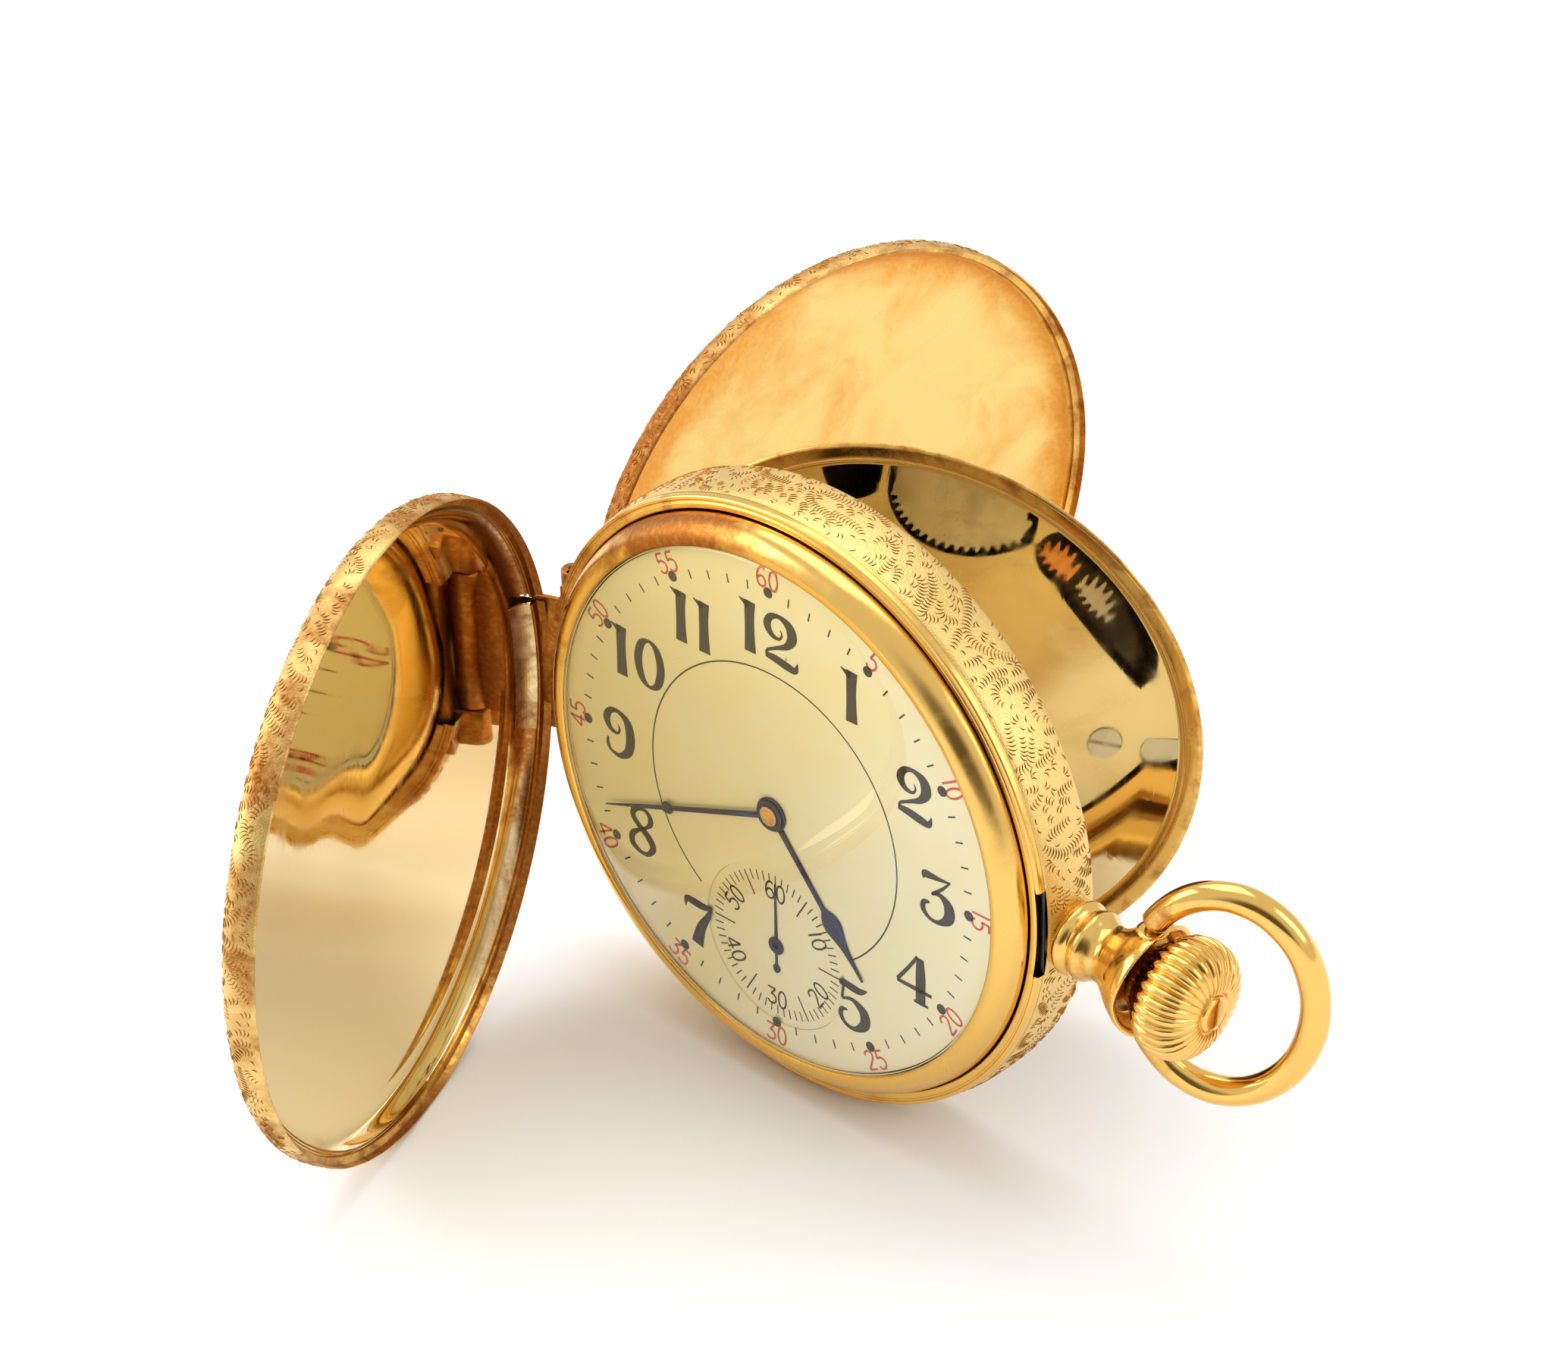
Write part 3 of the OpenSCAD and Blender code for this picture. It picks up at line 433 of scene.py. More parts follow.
def glassFinish():
    material, tree, shader = newMaterial("watchGlass", Metallic=0.0, IOR=1.3, Transmission_Weight=1.0,
                                         Base_Color=(1.0, 1.0, 1.0, 1))
    # light falls through the glass onto the dial, rather than casting its shadow
    clear = addNode(tree, "BsdfTransparent")
    path = addNode(tree, "LightPath")
    either = mathNode(tree, "MAXIMUM", path.outputs["Is Shadow Ray"], path.outputs["Is Diffuse Ray"])
    mix = addNode(tree, "MixShader")
    tree.links.new(either, mix.inputs[0])
    tree.links.new(shader.outputs[0], mix.inputs[1])
    tree.links.new(clear.outputs[0], mix.inputs[2])
    tree.links.new(mix.outputs[0], tree.nodes["Material Output"].inputs["Surface"])
    film = useGroup(tree, hazeGroup, {"Polish": 0.0, "Haze": 0.012, "Scale": 200.0})
    tree.links.new(film.outputs["Roughness"], shader.inputs["Roughness"])
    return material


def jewelFinish():
    material, tree, shader = newMaterial("jewelRed", Specular_IOR_Level=0.8, Roughness=0.06, Coat_Weight=0.6)
    cloud = objectNoise(tree, 1500.0, 2.0, 0.5)
    tree.links.new(mixColour(tree, cloud.outputs["Fac"], (0.30, 0.02, 0.03, 1), (0.62, 0.07, 0.06, 1)),
                   shader.inputs["Base Color"])
    return material


enamel = enamelFinish()
printBlack = printedFinish("printBlack", (0.006, 0.005, 0.004, 1), (0.022, 0.016, 0.010, 1))
printRed = printedFinish("printRed", (0.62, 0.06, 0.02, 1), (0.75, 0.16, 0.08, 1))
watchGlass = glassFinish()
bluedSteel = metalFinish("bluedSteel", (0.035, 0.045, 0.12, 1), (0.06, 0.05, 0.07, 1), 0.16, 0.15, 0.4)
steelBright = metalFinish("steelBright", (0.62, 0.60, 0.56, 1), (0.48, 0.45, 0.40, 1), 0.16, 0.2, 0.8)
steelDark = metalFinish("steelDark", (0.06, 0.055, 0.05, 1), (0.14, 0.09, 0.06, 1), 0.3, 0.25, 0.8)
nickelPlate = metalFinish("nickelPlate", (0.82, 0.72, 0.50, 1), (0.74, 0.60, 0.36, 1), 0.2, 0.16, 0.5, 160.0)
brassWheel = metalFinish("brassWheel", (0.78, 0.56, 0.22, 1), (0.60, 0.38, 0.12, 1), 0.2, 0.2, 0.6)
copperWheel = metalFinish("copperWheel", (0.86, 0.42, 0.18, 1), (0.62, 0.25, 0.09, 1), 0.18, 0.2, 0.6)
jewelRed = jewelFinish()
print("other finishes ready")

# the movement keeps its own solids, each with the finish of its record slot
slotFinish = {"gold": goldPolished, "gold_engraved": goldGround, "crystal": watchGlass, "enamel": enamel,
              "blued_steel": bluedSteel, "steel": steelBright, "dark_steel": steelDark, "gilt": nickelPlate,
              "brass": brassWheel, "copper": copperWheel, "jewel": jewelRed}
for part in frame["record"]["subparts"]:
    node = frame["nodes"][part["node"]]
    node.data.materials.clear()
    node.data.materials.append(slotFinish[part["material_slot"]])
    node.data.polygons.foreach_set("material_index", [0] * len(node.data.polygons))


# painted shade: the floor and walls of the winding work's recess get a near-black finish
recessPaintedShade = metalFinish("recessPaintedShade", (0.035, 0.028, 0.022, 1), (0.10, 0.07, 0.04, 1), 0.22, 0.2, 0.5)
recess = {"from": 5.03, "to": 5.9, "reach": 20.5}
topPlate = frame["nodes"]["top_plate"].data
topPlate.materials.append(recessPaintedShade)
for polygon in topPlate.polygons:
    deep = recess["from"] * mm < polygon.center.y < recess["to"] * mm
    if deep and polygon.center.xz.length < recess["reach"] * mm:
        polygon.material_index = 1


# chasing: rows of small crescent cuts that follow curling lines
chasing = {"spacing": 0.92, "pitch": 0.30, "rowLength": 12.0, "curl": 6.4, "cut": 0.15, "ridge": 0.055,
           "seed": 7}


def curlAngle(x, y, shift):
    n = noise.noise(Vector((x / chasing["curl"], y / chasing["curl"], shift)))
    m = noise.noise(Vector((x / 2.3 + 9, y / 2.3, shift)))
    return 2 * math.pi * (n * 1.5 + m * 0.14)


# evenly spaced rows of (x, y, heading) that fill a flat region
def chasedRows(inside, low, high, shift):
    rng = random.Random(chasing["seed"])
    spacing, pitch = chasing["spacing"], chasing["pitch"]
    taken = {}

    def near(x, y, own, reach):
        cx, cy = int(x // spacing), int(y // spacing)
        for i in (cx - 1, cx, cx + 1):
            for j in (cy - 1, cy, cy + 1):
                for (px, py, row) in taken.get((i, j), ()):
                    if row != own and (px - x) ** 2 + (py - y) ** 2 < reach * reach:
                        return True
        return False

    seeds = []
    y = low[1]
    while y < high[1]:
        x = low[0]
        while x < high[0]:
            seeds.append((x + rng.uniform(-0.3, 0.3), y + rng.uniform(-0.3, 0.3)))
            x += spacing * 0.55
        y += spacing * 0.55
    rng.shuffle(seeds)
    marks = []
    for row, (sx, sy) in enumerate(seeds):
        if not inside(sx, sy) or near(sx, sy, -1, spacing * 0.70):
            continue
        x, y, line = sx, sy, []
        while inside(x, y) and len(line) * pitch < chasing["rowLength"] and not near(x, y, row,
                                                                                     spacing * 0.60):
            heading = curlAngle(x, y, shift)
            line.append((x, y, heading))
            taken.setdefault((int(x // spacing), int(y // spacing)), []).append((x, y, row))
            x += math.cos(heading) * pitch
            y += math.sin(heading) * pitch
        marks += [(px, py, heading, 0.55 + 0.45 * min(1, (k + 1) / 4, (len(line) - k) / 3))
                  for k, (px, py, heading) in enumerate(line)]
    return marks


# each mark becomes a thin raised crescent with a sharp crest
def crescents(marks, onSurface):
    verts, faces = [], []
    stations = (-1, -0.55, 0, 0.55, 1)
    for (x, y, heading, size) in marks:
        c, s = math.cos(heading), math.sin(heading)
        base, half = len(verts), chasing["spacing"] * 0.50 * size
        for t in stations:
            bow = 0.42 * half * (1 - t * t)
            width = chasing["cut"] * (1 - t * t) * 0.5
            for side, height in (((0, 0),) if abs(t) == 1 else ((-1, -0.012), (0, chasing["ridge"]),
                                                                (1, -0.012))):
                along = bow + side * width
                verts.append(onSurface(x + c * along - s * t * half, y + s * along + c * t * half, height))
        a = base + 1
        faces += [(base, a, a + 1), (base, a + 1, a + 2)]
        for k in range(2):
            p, q = a + 3 * k, a + 3 * k + 3
            faces += [(p, q, q + 1, p + 1), (p + 1, q + 1, q + 2, p + 2)]
        end = a + 9
        faces += [(end, a + 7, a + 6), (end, a + 8, a + 7)]
    return verts, faces


# distance along an open outline, to walk over a profile at even steps
def walkProfile(profile):
    lengths = [0.0]
    for p, q in zip(profile, profile[1:]):
        lengths.append(lengths[-1] + math.dist(p, q))

    def at(distance, height):
        distance = max(0.0, min(lengths[-1] - 1e-6, distance))
        k = max(i for i, value in enumerate(lengths) if value <= distance)
        k = min(k, len(profile) - 2)
        t = (distance - lengths[k]) / (lengths[k + 1] - lengths[k])
        (r0, y0), (r1, y1) = profile[k], profile[k + 1]
        flat = math.hypot(r1 - r0, y1 - y0)
        nr, ny = (y0 - y1) / flat, (r1 - r0) / flat
        return (r0 + (r1 - r0) * t + nr * height, y0 + (y1 - y0) * t + ny * height)
    return at, lengths[-1]


# sizes that both covers share; each has its own rise and rim depth
coverShape = {"shoulder": 1.45, "domeRise": 1.15, "innerShoulder": 2.5, "steps": 720, "milling": 0.018}


# side and dome of a cover as (radius, height over its rim), from the rim inwards
def coverProfile(radius, rise, shoulder=coverShape["shoulder"]):
    dome = coverShape["domeRise"]
    wall = rise - dome - shoulder
    inner = radius - shoulder
    points = [(inner + shoulder * math.cos(math.radians(a)), wall + shoulder * math.sin(math.radians(a)))
              for a in range(0, 85, 6)]
    points += [(inner * (1 - k / 16), rise - dome * (1 - k / 16) ** 2) for k in range(1, 17)]
    return points


def makeCover(name, node, body, rimDepth, side, rise, wall, hinge, turn, innerFinish, tabHalf, gap=None):
    radius = hunterCase["radius"]
    outer = [(radius - 0.12, 0.0), (radius, 0.2)] + coverProfile(radius, rise)
    inner = [p for p in coverProfile(radius - wall, rise - wall, coverShape["innerShoulder"]) if p[1] > 1.0]
    # flat ring that sits over the lip, inside a thin skirt
    rim = [(radius - inset, h) for inset, h in ((0.66, 0.98), (0.72, 0.9), (0.73, 0.78), (0.68, 0.71),
                                                (0.24, 0.69), (0.18, 0.6), (0.16, 0.06), (0.145, 0.01))]
    outline = outer + inner[::-1] + rim
    nOuter, nInner = len(outer), len(inner)

    def depth(h):
        return rimDepth + side * h

    def warp(r, y, angle, k):
        if 1 <= k < nOuter - 14:       # outside of the wall and shoulder carries the milled edge
            r += coverShape["milling"] * (noise.noise(Vector((math.cos(angle) * 19, math.sin(angle) * 19,
                                                              k * 0.5))) + 0.25)
        if nOuter <= k < nOuter + nInner:
            n = noise.noise(Vector((r * math.cos(angle) / 9, r * math.sin(angle) / 9, 3.0)))
            y += side * 0.05 * n * (1 - r / radius)
        return r, y

    verts, faces, rows = turned([(r, depth(h)) for r, h in outline], coverShape["steps"], warp)
    finish = [0 if k < nOuter - 1 else (1 if k < nOuter + nInner - 1 else 2) for k in rows]
    count = len(outline)
    wear = []
    for i, (x, y, z) in enumerate(verts):
        k, angle = i % count, math.atan2(z, x)
        nearHinge = max(0.0, -math.cos(angle)) ** 2
        r = math.hypot(x, z)
        edge = max(0.0, (r - 19.0) / 5.5)
        wear.append(min(1.0, 0.25 * nearHinge * (r / 24) ** 2 + 0.55 * edge * edge + 0.35 * nearHinge * edge))
    if gap:      # the wall is broken away beside the tab
        keep, keptFinish = [], []
        for face, tone, k in zip(faces, finish, rows):
            x = sum(verts[i][0] for i in face) / 4
            z = sum(verts[i][2] for i in face) / 4
            h = side * (sum(verts[i][1] for i in face) / 4 - rimDepth)
            ragged = gap["ragged"] * noise.noise(Vector((z * 2.2, h * 3.1, 1)))
            if x < 0 and gap["from"] < z < gap["to"] + ragged and h < gap["depth"] and math.hypot(x, z) > 22:
                continue
            keep.append(face)
            keptFinish.append(tone)
        faces, finish = keep, keptFinish
    pieces = [(verts, faces)] + [hingeRod(hinge, 0.93, *span) for span in tabHalf]
    for z0, z1 in tabHalf:
        x0 = hinge[0] + (-0.38 if side < 0 else 0.3)
        y0, y1 = sorted((hinge[1] + side * 0.1, rimDepth + side * 1.3))
        pieces.append(softBlock((x0, y0, z0), (x0 + (0.45 if side < 0 else 0.8), y1, z1), 0.12))
    allVerts, allFaces = joinMeshes(pieces)
    tones = finish + [3] * (len(allFaces) - len(faces))
    wear += [0.8] * (len(allVerts) - len(wear))
    allVerts = [aboutHinge(v, hinge, turn) for v in allVerts]
    makePiece(name, allVerts, allFaces, [goldGround, innerFinish, goldRim, goldHinge], body, "gold_engraved",
              (node,), tones, marks=wear)

    at, total = walkProfile([(0.0, rise)] + coverProfile(radius, rise)[::-1][1:] + [(radius, 0.2)])

    def onCover(x, y, height):
        r, h = at(math.hypot(x, y), height)
        a = math.atan2(y, x)
        point = (r * math.cos(a), depth(h), r * math.sin(a))
        return aboutHinge(point, hinge, turn)

    def inside(x, y):
        s = math.hypot(x, y)
        r, h = at(s, 0)
        hinged = x < 0 and abs(r * math.sin(math.atan2(y, x))) < 9.4 and h < 1.9
        return s < total - 0.35 and not hinged

    marks = chasedRows(inside, (-total, -total), (total, total), side * 3.7)
    cuts = crescents(marks, onCover)
    # the raised cuts carry painted shade in their dark colour
    makePiece(name + "Chasing", cuts[0], cuts[1], [goldCutPaintedShade], body, "gold_engraved", smooth=False)
    print(name, "with", len(marks), "cuts")


frontTab = [(-5.95, 5.95)]
backTabs = [(-5.65, -2.75), (2.75, 5.65)]
makeCover("frontCoverShell", "front_cover", "front_lid", hunterCase["frontRim"], -1, hunterCase["frontRise"],
          hunterCase["coverWall"], hunterCase["frontHinge"], -hunterCase["frontOpen"], goldMirror, frontTab,
          {"from": 5.7, "to": 6.5, "depth": 2.3, "ragged": 0.5})
makeCover("backCoverShell", "back_cover", "back_lid", hunterCase["backRim"], 1, hunterCase["backRise"],
          hunterCase["coverWall"], hunterCase["backHinge"], hunterCase["backOpen"], goldSatin, backTabs,
          {"from": -9.2, "to": 9.2, "depth": 1.3, "ragged": 0.0})
# pale soldered plate inside the wall of the front cover, beside its hinge
frontPlate = {"inset": 0.1, "bedded": 0.08, "foot": 0.08, "low": 0.99, "high": 2.3, "rows": 8, "half": 13.6,
              "steps": 28}


def makeFrontPlate():
    plate, shoulder, rise = frontPlate, coverShape["innerShoulder"], []
    for j in range(plate["rows"] + 1):
        h = plate["low"] + (plate["high"] - plate["low"]) * j / plate["rows"]
        rise.append((hunterCase["radius"] - hunterCase["coverWall"] - shoulder
                     * (1 - math.sqrt(1 - ((h - plate["foot"]) / shoulder) ** 2)), h))
    loop = [(r - plate["inset"], h) for r, h in rise] + [(r + plate["bedded"], h) for r, h in reversed(rise)]
    verts, faces, n = [], [], len(loop)
    for k in range(plate["steps"] + 1):
        a = math.radians(180 + plate["half"] * (2 * k / plate["steps"] - 1))
        for r, h in loop:
            point = (r * math.cos(a), hunterCase["frontRim"] - h, r * math.sin(a))
            verts.append(aboutHinge(point, hunterCase["frontHinge"], -hunterCase["frontOpen"]))
        if k:
            c = n * k
            faces += [(c - n + i, c - n + (i + 1) % n, c + (i + 1) % n, c + i) for i in range(n)]
    faces += [tuple(reversed(range(n))), tuple(range(n * plate["steps"], n * plate["steps"] + n))]
    makePiece("frontCoverPlate", verts, faces, [goldTab], "front_lid", "gold", smooth=False,
              marks=[0.3] * len(verts))


makeFrontPlate()
print("front plate done")


# the dust cover is a thin polished dish with a turned edge
def makeDustCover():
    hinge, turn = hunterCase["backHinge"], hunterCase["dustOpen"]
    outline = [(0, 7.25, 0), (4, 7.24, 0), (8, 7.14, 0), (12, 7.0, 0), (16, 6.8, 0), (19, 6.62, 0.5),
               (21.2, 6.42, 0.3), (21.7, 5.98, 0.2),
               (22.65, 5.95, 0.12), (22.9, 6.15, 0.1), (22.72, 6.45, 0.15), (22.0, 6.75, 0.3), (19.5, 7.0, 0),
               (16, 7.2, 0), (12, 7.38, 0),
               (8, 7.52, 0), (4, 7.62, 0), (0, 7.65, 0)]
    shape = roundCorners(outline)
    verts, faces, rows = turned(shape, 360)
    wear = [0.6 * max(0.0, (math.hypot(v[0], v[2]) - 20.5) / 2.4) for v in verts]
    ringStart = next(i for i, p in enumerate(shape) if p[0] > 21.0)
    ringEnd = max(i for i, p in enumerate(shape) if p[0] > 22.0)
    finish = [1 if ringStart <= k < ringEnd else 0 for k in rows]
    parts = [(verts, faces), hingeRod(hinge, 0.93, -2.58, 2.58),
             softBlock((hinge[0], 6.2, -2.58), (hinge[0] + 3.1, 6.68, 2.58))]
    allVerts, allFaces = joinMeshes(parts)
    finish += [1] * (len(allFaces) - len(finish))
    wear += [0.7] * (len(allVerts) - len(wear))
    makePiece("dustCoverDish", [aboutHinge(v, hinge, turn) for v in allVerts], allFaces,
              [goldMirror, goldRim], "dust_cover", "gold", ("cuvette",), finish, marks=wear)


makeDustCover()


# case band with its lip, hinge seats and chased outside
bandShape = {"lip": [(23.5, 1.3, 0.06), (23.62, 1.22, 0.05), (24.0, 1.2, 0.1), (24.08, 1.32, 0.04),
                     (24.2, 1.32, 0.04), (24.28, 1.2, 0.06),
                     (24.56, 1.3, 0.12), (24.62, 1.86, 0.12)],
             "outside": [(24.64, 1.9, 0), (24.74, 2.4, 0), (24.82, 3.2, 0), (24.85, 4.2, 0), (24.85, 5.0, 0),
                         (24.82, 5.9, 0), (24.7, 6.6, 0.2),
                         (24.5, 6.98, 0.15)],
             "inside": [(22.98, 6.98, 0.1), (22.98, 5.8, 0.04), (21.45, 5.8, 0.15), (21.45, 0.92, 0),
                        (22.6, 0.92, 0), (22.6, 1.6, 0), (23.5, 1.6, 0)]}


def makeBand():
    pendantDepth, pendantSide = hunterCase["pendantDepth"], hunterCase["pendantSide"]
    lip, outside, inside = (roundCorners(bandShape[key]) for key in ("lip", "outside", "inside"))
    shape = lip + outside + inside
    verts, faces, rows = turned(shape, 720)
    frontEnd, outsideEnd = len(lip), len(lip) + len(outside)
    finish = [0 if k < frontEnd else (1 if k < outsideEnd - 3 else 2) for k in rows]
    keep, tones = [], []
    for face, tone in zip(faces, finish):
        x = sum(verts[i][0] for i in face) / 4
        y = sum(verts[i][1] for i in face) / 4
        z = sum(verts[i][2] for i in face) / 4
        r = math.hypot(x, z)
        frontSeat = x < 0 and abs(z) < 6.1 and y < 5.1 and r > 23.6
        backSeat = x < 0 and abs(z) < 5.85 and y > 6.0 and r > 22.9
        catchSlot = x > 0 and abs(z) < 3.7 and y < 2.0 and 24.1 < r
        pendantHole = x > 0 and math.hypot(y - pendantDepth, z - pendantSide) < 2.2 and r > 24
        if not (frontSeat or backSeat or catchSlot or pendantHole):
            keep.append(face)
            tones.append(tone)
    wear = []
    for (x, y, z) in verts:
        nearHinge = max(0.0, -math.cos(math.atan2(z, x))) ** 3
        wear.append(min(1.0, 0.55 * nearHinge + 0.15))
    parts = [(verts, keep)]
    for s in (-1, 1):      # fixed knuckles and the blocks that carry them
        for hinge, start in ((hunterCase["frontHinge"], 6.08), (hunterCase["backHinge"], 5.8)):
            z0, z1 = sorted((s * start, s * 9.0))
            parts.append(hingeRod(hinge, 0.95, z0, z1))
            parts.append(softBlock((hinge[0] - 0.2, hinge[1] - 0.94, z0),
                                   (hinge[0] + 2.3, hinge[1] + 0.94, z1), 0.14))
    # floor of the seats behind the moving knuckles
    parts.append(softBlock((-23.45, 1.7, -9.0), (-22.8, 6.05, 9.0), 0.1))
    allVerts, allFaces = joinMeshes(parts)
    tones += [3] * (len(allFaces) - len(tones))
    wear += [0.9] * (len(allVerts) - len(wear))
    makePiece("caseBand", allVerts, allFaces, [goldLip, goldGround, goldRim, goldHinge], "case",
              "gold_engraved", ("case_center",), tones, marks=wear)

    at, total = walkProfile([(p[0], p[1]) for p in bandShape["outside"][::-1]])
    radius = hunterCase["radius"]

    def onBand(x, y, height):
        r, depth = at(y, height)
        a = x / radius
        return (r * math.cos(a), depth, r * math.sin(a))

    def clear(x, y):
        a = x / radius
        px, pz = radius * math.cos(a), radius * math.sin(a)
        depth = at(y, 0)[1]
        hinged = px < 0 and abs(pz) < 9.3
        pendantSeat = px > 0 and math.hypot(depth - pendantDepth, pz - pendantSide) < 3.0
        return 0.3 < y < total - 0.25 and not hinged and not pendantSeat

    marks = chasedRows(clear, (-math.pi * radius, 0), (math.pi * radius, total), 0.0)
    cuts = crescents(marks, onBand)
    # the raised cuts carry painted shade in their dark colour
    makePiece("caseBandChasing", cuts[0], cuts[1], [goldCutPaintedShade], "case", "gold_engraved", smooth=False)
    print("band with", len(marks), "cuts")


makeBand()


bezelShape = [(21.36, -0.5, 0.05), (21.5, -0.6, 0.08), (21.9, -0.63, 0.2), (22.5, -0.38, 0.35),
              (23.0, 0.08, 0.35), (23.3, 0.62, 0.3),
              (23.42, 1.2, 0.08), (22.7, 1.22, 0.05), (22.6, 0.9, 0.05), (21.5, 0.9, 0.05),
              (21.5, -0.05, 0.03), (21.36, -0.05, 0.03)]
glassShape = {"outerEdge": 21.3, "innerEdge": 21.1, "base": -0.33, "rise": 0.97, "innerBase": -0.05,
              "innerRise": 0.95}


def makeBezelAndGlass():
    def dents(r, y, angle, k):
        n = noise.noise(Vector((math.cos(angle) * 3.2, math.sin(angle) * 3.2, 1.7)))
        return r + 0.012 * n, y + 0.012 * n
    verts, faces = turned(roundCorners(bezelShape, 6), 480, dents)[:2]
    wear = [max(0.0, math.cos(math.atan2(v[2], v[0]) - math.radians(114))) ** 16 + 0.25
            * max(0.0, -v[0] / 23) ** 3 for v in verts]
    makePiece("bezelRing", verts, faces, [goldBezel], "case", "gold", ("bezel",), marks=wear)
    g = glassShape
    outer = [(g["outerEdge"] * math.sqrt(math.sin(math.radians(a))),
              g["base"] - g["rise"] * math.cos(math.radians(a)))
             for a in range(0, 91, 3)]
    inner = [(g["innerEdge"] * math.sqrt(math.sin(math.radians(a))),
              g["innerBase"] - g["innerRise"] * math.cos(math.radians(a)))
             for a in range(90, -1, -3)]
    verts, faces = turned(outer + inner, 240)[:2]
    makePiece("watchGlassDome", verts, faces, [watchGlass], "case", "crystal", ("crystal",))


makeBezelAndGlass()
print("case done")


dialPrint = {"level": -0.014, "hourRadius": 15.75, "hourHeight": 4.3, "minuteTrack": 19.0, "tick": 0.72,
             "tickWidth": 0.13,
             "dot": 0.43, "redRadius": 20.1, "redHeight": 1.55, "innerRing": 12.2, "ringWidth": 0.12,
             "secondsCentre": (0.0, -11.97), "secondsTrack": 6.33, "secondsNumber": 4.85,
             "secondsHeight": 1.5}

# hour figures as pen strokes: (across, up, pen width) in figure heights
boldFigures = {
    "1": (0.44, [[(0.24, 0.0, 0.26), (0.235, 0.4, 0.22), (0.235, 0.7, 0.22), (0.25, 1.0, 0.25)],
                 [(0.0, 1.0, 0.02), (0.1, 0.955, 0.08), (0.22, 0.9, 0.16)]]),
    "2": (0.80, [[(0.40, 0.72, 0.02), (0.43, 0.62, 0.045), (0.36, 0.53, 0.06), (0.20, 0.56, 0.12),
                  (0.10, 0.72, 0.17), (0.18, 0.90, 0.13),
                  (0.38, 0.965, 0.09), (0.60, 0.86, 0.2), (0.66, 0.66, 0.22), (0.54, 0.46, 0.13),
                  (0.30, 0.33, 0.07), (0.10, 0.22, 0.06), (0.07, 0.12, 0.05)],
                 [(0.05, 0.12, 0.10), (0.28, 0.11, 0.16), (0.52, 0.07, 0.17), (0.72, 0.06, 0.13),
                  (0.78, 0.22, 0.02)]]),
    "3": (0.72, [[(0.06, 0.80, 0.02), (0.10, 0.90, 0.16), (0.24, 0.92, 0.13), (0.45, 0.93, 0.08),
                  (0.66, 0.96, 0.03)],
                 [(0.64, 0.95, 0.04), (0.48, 0.76, 0.06), (0.30, 0.60, 0.07), (0.25, 0.55, 0.05)],
                 [(0.25, 0.57, 0.05), (0.44, 0.61, 0.10), (0.62, 0.46, 0.22), (0.62, 0.22, 0.22),
                  (0.42, 0.05, 0.10), (0.20, 0.05, 0.08), (0.06, 0.18, 0.12),
                  (0.08, 0.33, 0.10), (0.20, 0.37, 0.05)]]),
    "4": (0.86, [[(0.50, 0.97, 0.07), (0.30, 0.66, 0.07), (0.05, 0.31, 0.08)],
                 [(0.04, 0.29, 0.07), (0.40, 0.29, 0.09), (0.82, 0.29, 0.07)],
                 [(0.56, 0.96, 0.16), (0.57, 0.6, 0.22), (0.57, 0.3, 0.22), (0.57, 0.04, 0.22)],
                 [(0.42, 0.03, 0.05), (0.57, 0.03, 0.07), (0.74, 0.03, 0.05)]]),
    "5": (0.74, [[(0.08, 0.84, 0.03), (0.10, 0.92, 0.13), (0.34, 0.90, 0.17), (0.52, 0.90, 0.14),
                  (0.68, 0.98, 0.03)],
                 [(0.14, 0.88, 0.07), (0.12, 0.74, 0.06), (0.10, 0.58, 0.06)],
                 [(0.10, 0.57, 0.05), (0.34, 0.64, 0.09), (0.60, 0.48, 0.22), (0.62, 0.24, 0.22),
                  (0.42, 0.05, 0.11), (0.20, 0.05, 0.08), (0.07, 0.20, 0.11),
                  (0.10, 0.34, 0.09), (0.22, 0.37, 0.04)]]),
    "7": (0.72, [[(0.04, 0.74, 0.02), (0.07, 0.90, 0.13), (0.30, 0.90, 0.17), (0.50, 0.90, 0.14),
                  (0.68, 0.97, 0.04)],
                 [(0.66, 0.95, 0.06), (0.58, 0.74, 0.12), (0.42, 0.45, 0.20), (0.34, 0.20, 0.25),
                  (0.30, 0.02, 0.28)]]),
    "8": (0.74, [[(0.40, 0.975, 0.08), (0.20, 0.90, 0.12), (0.15, 0.74, 0.13), (0.30, 0.58, 0.13),
                  (0.52, 0.42, 0.17), (0.62, 0.24, 0.15), (0.50, 0.06, 0.10),
                  (0.32, 0.03, 0.09), (0.12, 0.14, 0.14), (0.12, 0.34, 0.13), (0.30, 0.50, 0.07),
                  (0.48, 0.62, 0.07), (0.58, 0.76, 0.13), (0.54, 0.91, 0.11), (0.40, 0.975, 0.08)]]),
    "9": (0.76, [[(0.36, 0.70, 0.02), (0.40, 0.60, 0.05), (0.34, 0.50, 0.06), (0.18, 0.54, 0.11),
                  (0.09, 0.72, 0.17), (0.18, 0.91, 0.13), (0.38, 0.965, 0.09),
                  (0.60, 0.82, 0.19), (0.66, 0.52, 0.22), (0.60, 0.22, 0.19), (0.40, 0.05, 0.11),
                  (0.20, 0.07, 0.07), (0.10, 0.18, 0.08), (0.11, 0.34, 0.05)]]),
    "0": (0.76, [[(0.37, 0.97, 0.07), (0.18, 0.84, 0.16), (0.10, 0.5, 0.19), (0.18, 0.16, 0.16),
                  (0.37, 0.03, 0.07), (0.56, 0.16, 0.16), (0.64, 0.5, 0.19),
                  (0.56, 0.84, 0.16), (0.37, 0.97, 0.07)]])}

